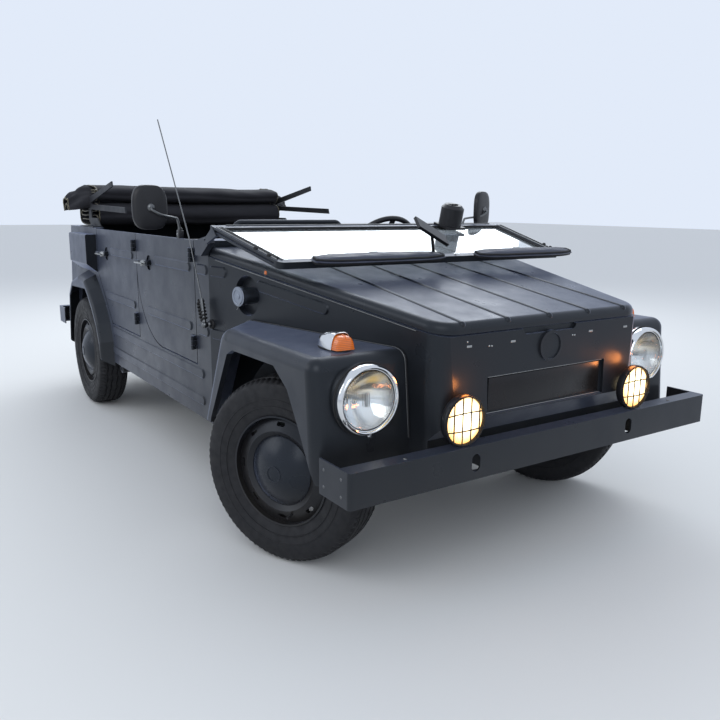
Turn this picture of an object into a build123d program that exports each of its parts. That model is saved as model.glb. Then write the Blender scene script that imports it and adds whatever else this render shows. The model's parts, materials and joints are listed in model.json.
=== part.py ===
"""Open four-door field car with a folding windshield, a folded canvas top and a rear engine.

Millimetres. +X points forward, +Y to the car's left and +Z up. The origin is on the ground,
at the middle of the length and of the width. The front wheels stand steered to the left.
Pieces are drawn on the right side, at negative Y, and mirrored to the left.
"""
import os
from math import asin, cos, hypot, radians, sin

from build123d import *

# Length: two overhangs and the wheelbase
FRONT_OVERHANG = 615
WHEELBASE = 2400
REAR_OVERHANG = 765

# Wheels and steering
FRONT_TRACK = 1316
REAR_TRACK = 1310
TYRE_RADIUS = 318
TYRE_WIDTH = 165
RIM_SEAT_RADIUS = 190
RIM_WIDTH = 138
RIM_SHEET = 6
HUB_CAP_RADIUS = 118
HUB_CAP_RISE = 44
RIM_SLOTS = 8
RIM_SLOT = (34, 14)
STEER_AT_REST = 25
STEER_LIMIT = 28
SPINDLE_LEVER = 68
KINGPIN_RADIUS = 12
SPINDLE_RADIUS = 20
DRUM_RADIUS = 112
PIN_CLEARANCE = 0.4

# Body tub
BODY_HALF = 677
WALL = 45
SHEET = 8
BELT_Z = 1048
SILL_Z = 312
FLOOR_Z = 300
FLOOR_SHEET = 14
DECK_Z = 800
SEAT_SHELF_Z = 470
TUNNEL_HALF = 75
TUNNEL_HEIGHT = 110
FRONT_QUARTER = 589
FRONT_POST = 149
FRONT_DOOR_WIDTH = 768
REAR_DOOR_SETBACK = 172
REAR_TOP_INSET = 330
REAR_LOW_INSET = 200
REAR_LOW_Z = 400
HEEL_SETBACK = 485
BULKHEAD_AHEAD = 168
BULKHEAD_LEAN = 40
TUB_CLEARANCE = 27
TOP_EDGE_RADIUS = 12

# Pressed ribs
RIB_HEIGHT = 44
RIB_RISE = 6
RIB_TAPER = 40
DOOR_RIB_HEIGHTS = (933, 687)
SILL_RIB_HEIGHTS = (502, 388)

# Doors
DOOR_BOTTOM_Z = 534
DOOR_ARC = 350
REAR_DOOR_KNEE_Z = 790
REAR_DOOR_TOE = 233
SHUT_GAP = 6
EDGE_GAP = 14
HINGE_STAND_OFF = 15
HINGE_RADIUS = 8
HINGE_PIN_RADIUS = 4
HINGE_KNUCKLE = 18
HINGE_BACK = 9
HINGE_HEIGHTS = (624, 985)
HINGE_STRAP = 48
HANDLE_Z = 915
HANDLE_INSET = 190
HANDLE_LENGTH = 128
HANDLE_STAND_OFF = 30
HANDLE_CUP_RADIUS = 36
HANDLE_CUP_DEPTH = 7

# Jack sockets under the sills
JACK_SETBACK = 530
JACK_Z = 297
JACK_RADIUS = 14
JACK_WALL = 6
JACK_LENGTH = 45

# Nose and bonnet
NOSE_INSET = 62
NOSE_TAPER = 230
NOSE_CORNER_Z = 820
NOSE_CORNER_RADIUS = 80
NOSE_WALL = 18
NOSE_BOTTOM_Z = 430
PANEL_LEAN = 8
PANEL_BOTTOM_Z = 565
CHIN_Z = 506
CHIN_INSET = 42
BONNET_REAR_GAP = 14
BONNET_REAR_Z = 986
BONNET_THICKNESS = 32
BONNET_SEAM = 5
BONNET_EDGE_RADIUS = 24
BONNET_BEADS = 5
BEAD_PITCH = 182
BEAD_RADIUS = 12
BEAD_RISE = 4
PLATE_HALF = 268
PLATE_RECESS = (569, 687)
PLATE_DEPTH = 11
BADGE_Z = 758
BADGE_RADIUS = 50
GRIP_WIDTH = 240
GRIP_HEIGHT = 34
GRIP_DEPTH = 10
WHEEL_ROOM = 75
FOOT_ROOM_Z = 640
LUGGAGE_CLEARANCE = 20

# Fuel filler on the nose's right side: distance ahead of the body's front, and height
FILLER_AHEAD = 244
FILLER_Z = 858
FILLER_CUP_RADIUS = 74
FILLER_CUP_DEPTH = 30
FILLER_RADIUS = 36
FILLER_LENGTH = 72
FILLER_SKIN = 5

# Cowl, dash and grab rail
DASH_DEPTH = 166
DASH_BOTTOM_Z = 900
DASH_SLANT = 24
DASH_SHEET = 16
GRAB_RADIUS = 11
GRAB_Z = 1116
GRAB_SETBACK = 46
GRAB_INSET = 135
GRAB_BEND = 30

# Fenders
FENDER_REACH = 123
FENDER_SKIN = 8
FENDER_TOP_Z = 770
FENDER_LOW_Z = 410
FENDER_FRONT_INSET = 193
FENDER_FRONT_LEAN = 30
FENDER_REAR_SETBACKS = (356, 185)
FENDER_RADIUS = 40
FENDER_BEND = 70
REAR_FENDER_REACH = 68
REAR_FENDER_RADIUS = 24
REAR_FENDER_FLARE = 28
LIP_WIDTH = 20

# Bumpers
BUMPER_HALF = 797
REAR_BUMPER_HALF = 716
BUMPER_TOP_Z = 502
BUMPER_HEIGHT = 104
BUMPER_SHEET = 6
BUMPER_DEPTH = 54
BUMPER_RETURN = 154
BUMPER_BEND = 12
BUMPER_SLOT_Y = 352
BUMPER_SLOT = (55, 33)
BUMPER_BRACKET_Y = 310
BUMPER_BRACKET_WIDTH = 40

# Lamps
HEADLAMP_Z = 644
HEADLAMP_RADIUS = 106
HEADLAMP_PROUD = 36
LAMP_RIM = 14
LAMP_BOWL = 60
HEADLAMP_BULGE = 14
FOG_LAMP_Y = 390
FOG_LAMP_RADIUS = 77
FOG_LAMP_FOOT = 1
FOG_LAMP_BULGE = 10
SIGNAL_AHEAD = 295
SIGNAL_LENGTH = 150
SIGNAL_WIDTH = 74
SIGNAL_HEIGHT = 52
TAIL_LAMP_Y = 565
TAIL_LAMP_LOW_Z = 547
TAIL_LAMP_SIZE = (70, 140, 34)

# Windshield, folded forward: distances ahead of the body's front, and heights
SHIELD_REAR_AHEAD = 136
SHIELD_REAR_Z = 1111
SHIELD_FRONT_AHEAD = 575
SHIELD_FRONT_Z = 1003
SHIELD_REAR_OUT = 42
SHIELD_FRONT_IN = 12
SHIELD_TUBE = 32
SHIELD_DEPTH = 24
SHIELD_CORNER = 26
SHIELD_GROOVE = 8
SHIELD_PIVOT_AHEAD = 72
SHIELD_PIVOT_Z = 1057
SHIELD_ARM = 12
SHIELD_EYE_RADIUS = 16
SHIELD_ARM_CLEARANCE = 0.5
SHIELD_FOOT = 57
GLASS_THICKNESS = 6

# Engine and gearbox
ENGINE_HALF = 270
ENGINE_HEIGHTS = (330, 690)
BELL_SETBACK = 90
GEARBOX_AHEAD = 365
GEARBOX_HALF = 110
GEARBOX_HEIGHTS = (250, 440)
SILENCER_RADIUS = 60

# Seats
SEAT_TOP_Z = 610
CUSHION_THICKNESS = 110
SEAT_BACK_HEIGHT = 470
SEAT_BACK_THICKNESS = 100
SEAT_CLEARANCE = 25
SEAT_LEAN = 16

# Steering wheel and column
STEERING_SETBACK = 326
STEERING_Y = 365
STEERING_Z = 975
STEERING_RADIUS = 200
STEERING_RIM = 13
STEERING_TILT = 35
COLUMN_RADIUS = 20
COLUMN_LENGTH = 415

# Folded top
TOP_HALF = 600
TOP_BAR_Y = 618
TOP_BAR_SHEET = 8
TOP_TUBE_RADIUS = 11

# Stations along the car
LENGTH = FRONT_OVERHANG + WHEELBASE + REAR_OVERHANG
FRONT_X = LENGTH / 2
REAR_X = -LENGTH / 2
FRONT_AXLE_X = FRONT_X - FRONT_OVERHANG
REAR_AXLE_X = FRONT_AXLE_X - WHEELBASE
AXLE_Z = TYRE_RADIUS
BODY_FRONT_X = FRONT_AXLE_X - FRONT_QUARTER
DOOR_FRONT_X = BODY_FRONT_X - FRONT_POST
DOOR_SPLIT_X = DOOR_FRONT_X - FRONT_DOOR_WIDTH
DOOR_REAR_X = REAR_AXLE_X + REAR_DOOR_SETBACK
REAR_TOP_X = REAR_X + REAR_TOP_INSET
REAR_LOW_X = REAR_X + REAR_LOW_INSET
HEEL_X = REAR_AXLE_X + HEEL_SETBACK
NOSE_FRONT_X = FRONT_X - NOSE_INSET
NOSE_CORNER_HALF = BODY_HALF - NOSE_TAPER
BONNET_REAR_X = BODY_FRONT_X + BONNET_REAR_GAP
WHEEL_ROOM_RADIUS = TYRE_RADIUS + WHEEL_ROOM
TOE_X = FRONT_AXLE_X - WHEEL_ROOM_RADIUS - NOSE_WALL - FLOOR_SHEET
FENDER_HALF = BODY_HALF + FENDER_REACH
REAR_FENDER_HALF = BODY_HALF + REAR_FENDER_REACH
INNER_HALF = BODY_HALF - WALL
REAR_WELL_HALF = REAR_TRACK / 2 - TYRE_WIDTH / 2 - TUB_CLEARANCE
KINGPIN_HALF = FRONT_TRACK / 2 - SPINDLE_LEVER
SWEPT_HALF = (KINGPIN_HALF + (SPINDLE_LEVER - TYRE_WIDTH / 2) * cos(radians(STEER_LIMIT))
              - TYRE_RADIUS * sin(radians(STEER_LIMIT)))
WELL_HALF = SWEPT_HALF - LUGGAGE_CLEARANCE - NOSE_WALL
PIVOT = (BODY_FRONT_X + SHIELD_PIVOT_AHEAD, SHIELD_PIVOT_Z)
SHIELD_REAR = (BODY_FRONT_X + SHIELD_REAR_AHEAD, SHIELD_REAR_Z)
SHIELD_FRONT = (BODY_FRONT_X + SHIELD_FRONT_AHEAD, SHIELD_FRONT_Z)
SHIELD_LENGTH = hypot(SHIELD_FRONT[0] - SHIELD_REAR[0], SHIELD_FRONT[1] - SHIELD_REAR[1])
SHIELD_REAR_HALF = BODY_HALF + SHIELD_REAR_OUT
SHIELD_FRONT_HALF = BODY_HALF - SHIELD_FRONT_IN

# Outer edges of the wheel openings and fenders: distance ahead of the axle, and height
FRONT_ARCH = (
    (-345, 300), (-305, 430), (-150, 690), (-106, 711), (195, 715), (281, 659), (362, 534), (440, 400),
    (450, 300),
)
REAR_ARCH = (
    (358, 290), (343, 409), (300, 505), (228, 592), (145, 670), (100, 700), (-215, 690), (-290, 620),
    (-358, 290),
)
REAR_FENDER = (
    (402, 290), (396, 430), (350, 535), (270, 640), (180, 722), (95, 780), (-60, 795), (-250, 745),
    (-345, 650), (-408, 290),
)
REAR_WALL_CUT = ((350, 290), (330, 409), (240, 592), (100, 690), (-240, 690), (-355, 318), (-356, 290))


def block(x_low, x_high, y_low, y_high, z_low, z_high):
    """A box between six planes."""
    size = (x_high - x_low, y_high - y_low, z_high - z_low)
    centre = ((x_low + x_high) / 2, (y_low + y_high) / 2, (z_low + z_high) / 2)
    return Pos(*centre) * Box(*size)


def outline(points, bends=()):
    """A face with straight edges between points; bends are pairs of a point's number and its radius."""
    face = make_face(Polyline(*points, close=True))
    for number, radius in bends:
        corner = Vector(*points[number], 0)
        face = fillet([min(face.vertices(), key=lambda vertex: (Vector(*vertex) - corner).length)], radius)
    return face


def across(face, y_low, y_high):
    """Extrude a face drawn in x and z from one y to another."""
    return extrude(Plane.XZ.offset(-y_high) * face, y_high - y_low)


def upward(face, z_low, z_high):
    """Extrude a face drawn in x and y from one z to another."""
    return extrude(Plane.XY.offset(z_low) * face, z_high - z_low)


def forward(face, x_low, x_high):
    """Extrude a face drawn in y and z from one x to another."""
    return extrude(Plane.YZ.offset(x_low) * face, x_high - x_low)


def both_sides(right):
    """The right-hand piece and its mirror image."""
    return right + mirror(right, about=Plane.XZ)


def one_side(right, side):
    """The right-hand piece itself for side -1, or its mirror image for side 1."""
    return right if side < 0 else mirror(right, about=Plane.XZ)


def rod(start, end, radius):
    """A round bar between two points."""
    axis = Vector(*end) - Vector(*start)
    return extrude(Plane(origin=start, z_dir=axis) * Circle(radius), axis.length)


def post(x, y, z_low, z_high, radius):
    """An upright round bar."""
    return rod((x, y, z_low), (x, y, z_high), radius)


def cross_rod(x, z, y_start, y_end, radius):
    """A round bar across the car."""
    return rod((x, y_start, z), (x, y_end, z), radius)


def bent_rod(points, bend, radius):
    """A round bar along a bent line with equal bends."""
    path = FilletPolyline(*points, radius=bend)
    return sweep(Plane(path @ 0, z_dir=path % 0) * Circle(radius), path=path)


def placed(points, station):
    """Outline points given ahead of a station, moved to it."""
    return [(station + x, z) for x, z in points]


def nose_edge_z(x):
    """Height of the joint between the bonnet and the nose."""
    share = (x - BONNET_REAR_X) / (NOSE_FRONT_X - BONNET_REAR_X)
    return BONNET_REAR_Z + share * (NOSE_CORNER_Z - BONNET_REAR_Z)


def nose_half(x):
    """Half the width of the tapered nose."""
    share = (x - BODY_FRONT_X) / (NOSE_FRONT_X - BODY_FRONT_X)
    return BODY_HALF + share * (NOSE_CORNER_HALF - BODY_HALF)


def panel_x(z):
    """Where the nose's front panel is at a height."""
    share = (NOSE_CORNER_Z - z) / (NOSE_CORNER_Z - PANEL_BOTTOM_Z)
    return NOSE_FRONT_X + share * PANEL_LEAN


def rear_x(z):
    """Where the sloping rear panel's outer face is at a height."""
    share = (z - REAR_LOW_Z) / (BELT_Z - REAR_LOW_Z)
    return REAR_LOW_X + share * (REAR_TOP_X - REAR_LOW_X)


def side_plane(x, z):
    """The right body side's plane, facing outward, with its x forward."""
    return Plane(origin=(x, -BODY_HALF, z), x_dir=(1, 0, 0), z_dir=(0, -1, 0))


def nose_plane(x, z):
    """The nose's right side plane, facing outward, with its x forward."""
    tangent = Vector(NOSE_FRONT_X - BODY_FRONT_X, BODY_HALF - NOSE_CORNER_HALF, 0).normalized()
    return Plane(origin=(x, -nose_half(x), z), x_dir=tangent, z_dir=(tangent.Y, -tangent.X, 0))


def rib(plane, length, tilt=0):
    """A long pressed bead with round ends and sloping sides, standing on a plane."""
    foot = plane.offset(-1) * (Rot(0, 0, tilt) * SlotOverall(length, RIB_HEIGHT))
    return extrude(foot, RIB_RISE + 1, taper=RIB_TAPER)


def side_rib(x_low, x_high, z):
    """A level rib on the right body side."""
    return rib(side_plane((x_low + x_high) / 2, z), x_high - x_low)


def front_door_face():
    """The front door's outline, with its large round rear corner."""
    left, right = DOOR_SPLIT_X, DOOR_FRONT_X
    low, high = DOOR_BOTTOM_Z, BELT_Z
    bottom = Line((left + DOOR_ARC, low), (right, low))
    front = Line((right, low), (right, high))
    top = Line((right, high), (left, high))
    rear = Line((left, high), (left, low + DOOR_ARC))
    corner = RadiusArc((left, low + DOOR_ARC), (left + DOOR_ARC, low), -DOOR_ARC)
    return make_face([bottom, front, top, rear, corner])


def rear_door_face():
    """The rear door's outline, cut away above the wheel."""
    return outline((
        (DOOR_REAR_X + REAR_DOOR_TOE, DOOR_BOTTOM_Z), (DOOR_SPLIT_X, DOOR_BOTTOM_Z), (DOOR_SPLIT_X, BELT_Z),
        (DOOR_REAR_X, BELT_Z), (DOOR_REAR_X, REAR_DOOR_KNEE_Z),
    ))


# Each door: its outline, its front edge, its rear edge, and its ribs as distances
# from the front edge to where the upper and the lower rib start and end
DOORS = {
    "front": (front_door_face, DOOR_FRONT_X, DOOR_SPLIT_X, ((497, 42), (637, 44))),
    "rear": (rear_door_face, DOOR_SPLIT_X, DOOR_REAR_X, ((453, 54), (585, 44))),
}


def hinge_pin_half():
    """Half the height of a door hinge's three knuckles together."""
    return HINGE_KNUCKLE * 3 / 2 + 1


def hinge_place(edge_x):
    """Where a door hinge's pin stands, in x and y."""
    return edge_x - HINGE_BACK, -(BODY_HALF + HINGE_STAND_OFF)


def body_hinge(edge_x, z):
    """The body's half of one door hinge: pin, middle knuckle and leaf."""
    x, y = hinge_place(edge_x)
    half = HINGE_KNUCKLE / 2
    pin = post(x, y, z - hinge_pin_half(), z + hinge_pin_half(), HINGE_PIN_RADIUS)
    middle = post(x, y, z - half, z + half, HINGE_RADIUS)
    leaf = block(x, edge_x - SHUT_GAP / 2, y, -INNER_HALF, z - half, z + half)
    return pin + middle + leaf


def door_hinge(edge_x, z):
    """The door's half of one hinge: two knuckles with straps onto the door's skin."""
    x, y = hinge_place(edge_x)
    reach = hinge_pin_half() + 1
    bore = post(x, y, z - reach, z + reach, HINGE_PIN_RADIUS + PIN_CLEARANCE)
    halves = []
    for side in (-1, 1):
        low = z + side * (HINGE_KNUCKLE + 1) - HINGE_KNUCKLE / 2
        high = low + HINGE_KNUCKLE
        ring = post(x, y, low, high, HINGE_RADIUS)
        strap = block(x - HINGE_STRAP, x, y + HINGE_STAND_OFF / 2, -BODY_HALF, low, high)
        web = block(x - HINGE_RADIUS, x, y, -BODY_HALF, low, high)
        halves.append(ring + strap + web - bore)
    return halves


def door_handle(x):
    """A lever handle: a boss at its front end and a blade that stands away to the rear."""
    y = -BODY_HALF
    boss_radius, blade_height, blade_sheet = 13, 17, 8
    near_y, far_y = y - HANDLE_STAND_OFF / 2, y - HANDLE_STAND_OFF
    root_x, knee_x = x + boss_radius, x - HANDLE_LENGTH / 2
    tail_x = root_x - HANDLE_LENGTH
    boss = cross_rod(x, HANDLE_Z, y + HANDLE_CUP_DEPTH + 1, near_y, boss_radius)
    blade = upward(outline((
        (root_x, near_y + blade_sheet), (root_x, near_y), (knee_x, far_y), (tail_x, far_y),
        (tail_x, far_y + blade_sheet), (knee_x, far_y + blade_sheet),
    )), HANDLE_Z - blade_height / 2, HANDLE_Z + blade_height / 2)
    return boss + blade


def make_door(name):
    """One right-hand door, solid through its thickness, with its ribs, handle and hinge halves."""
    face_of, front_x, rear_edge_x, ribs = DOORS[name]
    face = face_of()
    skin_face = offset(face, amount=-SHUT_GAP / 2, kind=Kind.INTERSECTION)
    core_face = offset(face, amount=-EDGE_GAP, kind=Kind.INTERSECTION)
    door = across(skin_face, -BODY_HALF, -BODY_HALF + SHEET)
    door += across(core_face, -BODY_HALF + SHEET, -INNER_HALF)
    for (start, end), z in zip(ribs, DOOR_RIB_HEIGHTS):
        door += side_rib(front_x - start, front_x - end, z)
    handle_x = rear_edge_x + HANDLE_INSET
    cup = cross_rod(handle_x, HANDLE_Z, -BODY_HALF + HANDLE_CUP_DEPTH, -BODY_HALF - HANDLE_STAND_OFF,
                    HANDLE_CUP_RADIUS)
    door = door - cup + door_handle(handle_x)
    notch_half = HINGE_KNUCKLE / 2 + SHUT_GAP
    notch_x = front_x - HINGE_BACK - HINGE_RADIUS - SHUT_GAP
    for z in HINGE_HEIGHTS:
        door -= block(notch_x, front_x, -BODY_HALF - 1, -INNER_HALF + 1, z - notch_half, z + notch_half)
        for half in door_hinge(front_x, z):
            door += half
    return door


def make_side():
    """The right-hand body side with its sill, quarters, inner post, hinge leaves and jack socket."""
    out, inside = -BODY_HALF - 1, -INNER_HALF + 1
    foot_x = rear_x(REAR_LOW_Z) + REAR_DOOR_SETBACK
    wall = across(outline((
        (BODY_FRONT_X, SILL_Z), (BODY_FRONT_X, BELT_Z), (REAR_TOP_X, BELT_Z), (REAR_LOW_X, REAR_LOW_Z),
        (foot_x, SILL_Z),
    )), -BODY_HALF, -INNER_HALF)
    wall -= across(outline(placed(REAR_WALL_CUT, REAR_AXLE_X)), out, inside)
    for face_of, _, _, _ in DOORS.values():
        wall -= across(offset(face_of(), amount=SHUT_GAP / 2, kind=Kind.INTERSECTION), out, inside)
    wall -= block(DOOR_REAR_X, DOOR_FRONT_X, out, inside, BELT_Z - WALL / 2, BELT_Z + 1)
    post_half, post_depth, post_gap = 35, 34, 6
    post_foot_z = DOOR_BOTTOM_Z - WALL
    post = block(DOOR_SPLIT_X - post_half, DOOR_SPLIT_X + post_half, -INNER_HALF + post_gap,
                 -INNER_HALF + post_gap + post_depth, post_foot_z, BELT_Z - post_depth)
    foot = block(DOOR_SPLIT_X - post_half, DOOR_SPLIT_X + post_half, -BODY_HALF + SHEET,
                 -INNER_HALF + post_gap + post_depth, post_foot_z, DOOR_BOTTOM_Z - SHUT_GAP)
    wall += post + foot
    sill_rear_x = REAR_AXLE_X + REAR_ARCH[0][0] + RIB_HEIGHT
    for z in SILL_RIB_HEIGHTS:
        wall += side_rib(sill_rear_x, BODY_FRONT_X - FRONT_POST / 2, z)
    for z in DOOR_RIB_HEIGHTS:
        wall += side_rib(DOOR_FRONT_X + HINGE_BACK * 2, BODY_FRONT_X - HINGE_BACK, z)
    knuckle = HINGE_KNUCKLE / 2
    for _, front_x, _, _ in DOORS.values():
        bridge_x = (front_x - HINGE_BACK, front_x - SHUT_GAP / 2)
        bridge_y = (-INNER_HALF - 1, -INNER_HALF + post_gap + 1)
        if front_x == DOOR_FRONT_X:
            bridge_x = (front_x - HINGE_BACK, front_x + HINGE_BACK)
            bridge_y = (-INNER_HALF - SHEET, -INNER_HALF)
        for z in HINGE_HEIGHTS:
            wall += body_hinge(front_x, z) + block(*bridge_x, *bridge_y, z - knuckle, z + knuckle)
    jack_x = REAR_AXLE_X + JACK_SETBACK
    tube = (jack_x, JACK_Z, -BODY_HALF, -BODY_HALF + JACK_LENGTH)
    wall += cross_rod(*tube, JACK_RADIUS + JACK_WALL)
    return wall - cross_rod(*tube, JACK_RADIUS)


def make_floor():
    """The floor with its centre tunnel and toe board."""
    low, high = FLOOR_Z, FLOOR_Z + FLOOR_SHEET
    top = high + TUNNEL_HEIGHT
    inner, outer = TUNNEL_HALF, TUNNEL_HALF + FLOOR_SHEET
    section = outline((
        (-INNER_HALF, low), (-inner, low), (-inner, top - FLOOR_SHEET), (inner, top - FLOOR_SHEET),
        (inner, low), (INNER_HALF, low), (INNER_HALF, high), (outer, high), (outer, top), (-outer, top),
        (-outer, high), (-INNER_HALF, high),
    ))
    pan = forward(section, HEEL_X, TOE_X)
    toe_half = nose_half(TOE_X) - NOSE_WALL
    trim = block(BODY_FRONT_X, TOE_X, -INNER_HALF, -toe_half, low - 1, high + 1)
    pan -= both_sides(trim)
    toe = block(TOE_X - FLOOR_SHEET, TOE_X, -toe_half, toe_half, low, FOOT_ROOM_Z)
    return pan + toe


def make_rear_tub():
    """The heel board, seat shelf, bulkhead, engine deck and inner wheel walls."""
    thick = FLOOR_SHEET
    shelf_x = REAR_AXLE_X + BULKHEAD_AHEAD
    bulkhead_x = shelf_x - BULKHEAD_LEAN
    deck_end = REAR_TOP_X - thick / 2
    sheet = across(outline((
        (HEEL_X, FLOOR_Z), (HEEL_X, SEAT_SHELF_Z), (shelf_x, SEAT_SHELF_Z), (bulkhead_x, DECK_Z),
        (deck_end, DECK_Z), (deck_end, DECK_Z - thick), (bulkhead_x - thick, DECK_Z - thick),
        (shelf_x - thick, SEAT_SHELF_Z - thick), (HEEL_X - thick, SEAT_SHELF_Z - thick),
        (HEEL_X - thick, FLOOR_Z),
    )), -REAR_WELL_HALF, REAR_WELL_HALF)
    wall = across(outline((
        (HEEL_X, SILL_Z), (HEEL_X, DECK_Z), (deck_end, DECK_Z), (deck_end, AXLE_Z + TYRE_RADIUS / 2),
        (REAR_AXLE_X + TYRE_RADIUS, AXLE_Z + TYRE_RADIUS / 3), (REAR_AXLE_X + TYRE_RADIUS, SILL_Z),
    )), -REAR_WELL_HALF - thick, -REAR_WELL_HALF)
    ledge = block(deck_end, HEEL_X, -INNER_HALF, -REAR_WELL_HALF, DECK_Z - thick, DECK_Z)
    return sheet + both_sides(wall + ledge)


# The engine lid: half its width, its lower and its upper edge
LID_HALF = 394
LID_LOW_Z = 486
LID_HIGH_Z = 844
PANEL_SHEET = 20

# Barrel hinges of the engine lid and the bonnet: where their middles are, and their sizes
LID_HINGES = (-250, 250)
BONNET_HINGES = (-300, 300)
BARREL_RADIUS = 8
BARREL_HALF = 20
EAR = 9


def rear_sheet(half, low, high):
    """A piece of the sloping rear panel between two heights."""
    low_x, high_x = rear_x(low), rear_x(high)
    points = ((low_x, low), (high_x, high), (high_x + PANEL_SHEET, high), (low_x + PANEL_SHEET, low))
    return across(outline(points), -half, half)


def hung(piece, x, z, places):
    """A moving piece with round hinge barrels on a cross axis, cut clear of the fixed ears."""
    for y in places:
        for end in (y - BARREL_HALF - EAR - 1, y + BARREL_HALF):
            piece -= cross_rod(x, z, end, end + EAR + 1, BARREL_RADIUS + 1)
        piece += cross_rod(x, z, y - BARREL_HALF, y + BARREL_HALF, BARREL_RADIUS)
        piece -= cross_rod(x, z, y - BARREL_HALF - 1, y + BARREL_HALF + 1, HINGE_PIN_RADIUS + PIN_CLEARANCE)
    return piece


def barrel_room(x, z, places):
    """The space that hinge barrels on a cross axis turn in."""
    room = Part()
    for y in places:
        room += cross_rod(x, z, y - BARREL_HALF - 1, y + BARREL_HALF + 1, BARREL_RADIUS + 2)
    return room


def hinge_ears(x, z, web_ends, places):
    """Fixed ears with pins for hinges on a cross axis; web_ends are the x and z ends of each ear's web."""
    ears = Part()
    for y in places:
        ears += cross_rod(x, z, y - BARREL_HALF - EAR, y + BARREL_HALF + EAR, HINGE_PIN_RADIUS)
        for end in (y - BARREL_HALF - EAR, y + BARREL_HALF + 1):
            ears += cross_rod(x, z, end, end + EAR - 1, BARREL_RADIUS)
            ears += block(*web_ends[0], end, end + EAR - 1, *web_ends[1])
    return ears


def make_rear_panel():
    """The rear panel with the engine lid's opening and hinge ears."""
    panel = rear_sheet(INNER_HALF, REAR_LOW_Z, BELT_Z)
    gap = SHUT_GAP
    opening = block(REAR_X, REAR_TOP_X + PANEL_SHEET * 2, -LID_HALF - gap, LID_HALF + gap, LID_LOW_Z - gap,
                    LID_HIGH_Z + gap)
    panel = panel - opening - barrel_room(*lid_hinge(), LID_HINGES)
    x, z = lid_hinge()
    web_ends = ((x - BARREL_RADIUS, x + BARREL_RADIUS), (z, z + SHUT_GAP * 2))
    return panel + hinge_ears(x, z, web_ends, LID_HINGES)


def lid_hinge():
    """The engine lid's hinge axis in x and z."""
    return rear_x(LID_HIGH_Z), LID_HIGH_Z + SHUT_GAP / 2


def make_engine_lid():
    """The lid over the engine, hinged at its top edge, with two long ribs and a handle."""
    lid = rear_sheet(LID_HALF, LID_LOW_Z, LID_HIGH_Z)
    slope = (REAR_TOP_X - REAR_LOW_X) / (BELT_Z - REAR_LOW_Z)
    for share in (1 / 3, 2 / 3):
        z = LID_LOW_Z + share * (LID_HIGH_Z - LID_LOW_Z)
        plane = Plane(origin=(rear_x(z), 0, z), x_dir=(0, 1, 0), z_dir=(-1, 0, slope))
        lid += rib(plane, LID_HALF * 2 - RIB_HEIGHT * 2)
    handle_half, handle_z, grip_radius, post_radius = 45, LID_LOW_Z + 30, 7, 5
    face_x = rear_x(handle_z)
    grip_x = face_x - grip_radius * 2
    grip = cross_rod(grip_x, handle_z, -handle_half, handle_half, grip_radius)
    for y in (-handle_half + grip_radius, handle_half - grip_radius):
        grip += rod((grip_x, y, handle_z), (face_x + PANEL_SHEET / 2, y, handle_z), post_radius)
    return hung(lid + grip, *lid_hinge(), LID_HINGES)


def nose_block(wall, drop):
    """The nose's solid outline, drawn in by a wall thickness and lowered by a drop."""
    front, rear = NOSE_FRONT_X - wall, BODY_FRONT_X + wall
    chin_x = NOSE_FRONT_X - CHIN_INSET - wall
    rear_z, front_z = nose_edge_z(rear) - drop, nose_edge_z(front) - drop
    profile = outline((
        (rear, rear_z), (front, front_z), (front + PANEL_LEAN, PANEL_BOTTOM_Z),
        (chin_x, CHIN_Z), (chin_x, NOSE_BOTTOM_Z + wall), (rear, NOSE_BOTTOM_Z + wall),
    ))
    return across(profile, -BODY_HALF, BODY_HALF) & upward(nose_plan(wall), FLOOR_Z, BELT_Z)


def nose_plan(wall):
    """The nose seen from above, drawn in by a wall thickness, with its round front corners."""
    end_x = NOSE_FRONT_X + PANEL_LEAN - wall
    near, far = BODY_HALF - wall, nose_half(end_x) - wall
    bend = NOSE_CORNER_RADIUS - wall
    points = ((BODY_FRONT_X, -near), (end_x, -far), (end_x, far), (BODY_FRONT_X, near))
    return outline(points, ((1, bend), (2, bend)))


def wheel_room(radius, y_low, y_high):
    """The right front wheel's space: a half round over the axle, open below."""
    x = FRONT_AXLE_X
    dome = Pos(x, 0, AXLE_Z) * Rot(90, 0, 0) * Cylinder(radius, y_high - y_low)
    return Pos(0, (y_low + y_high) / 2, 0) * dome + block(x - radius, x + radius, y_low, y_high, 0, AXLE_Z)


# Ribs on the nose's side: distance ahead of the body's front, height, length and tilt
NOSE_RIBS = ((62, 933, 120, 0), (62, 687, 120, 0), (489, 877, 392, -7.5))


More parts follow.
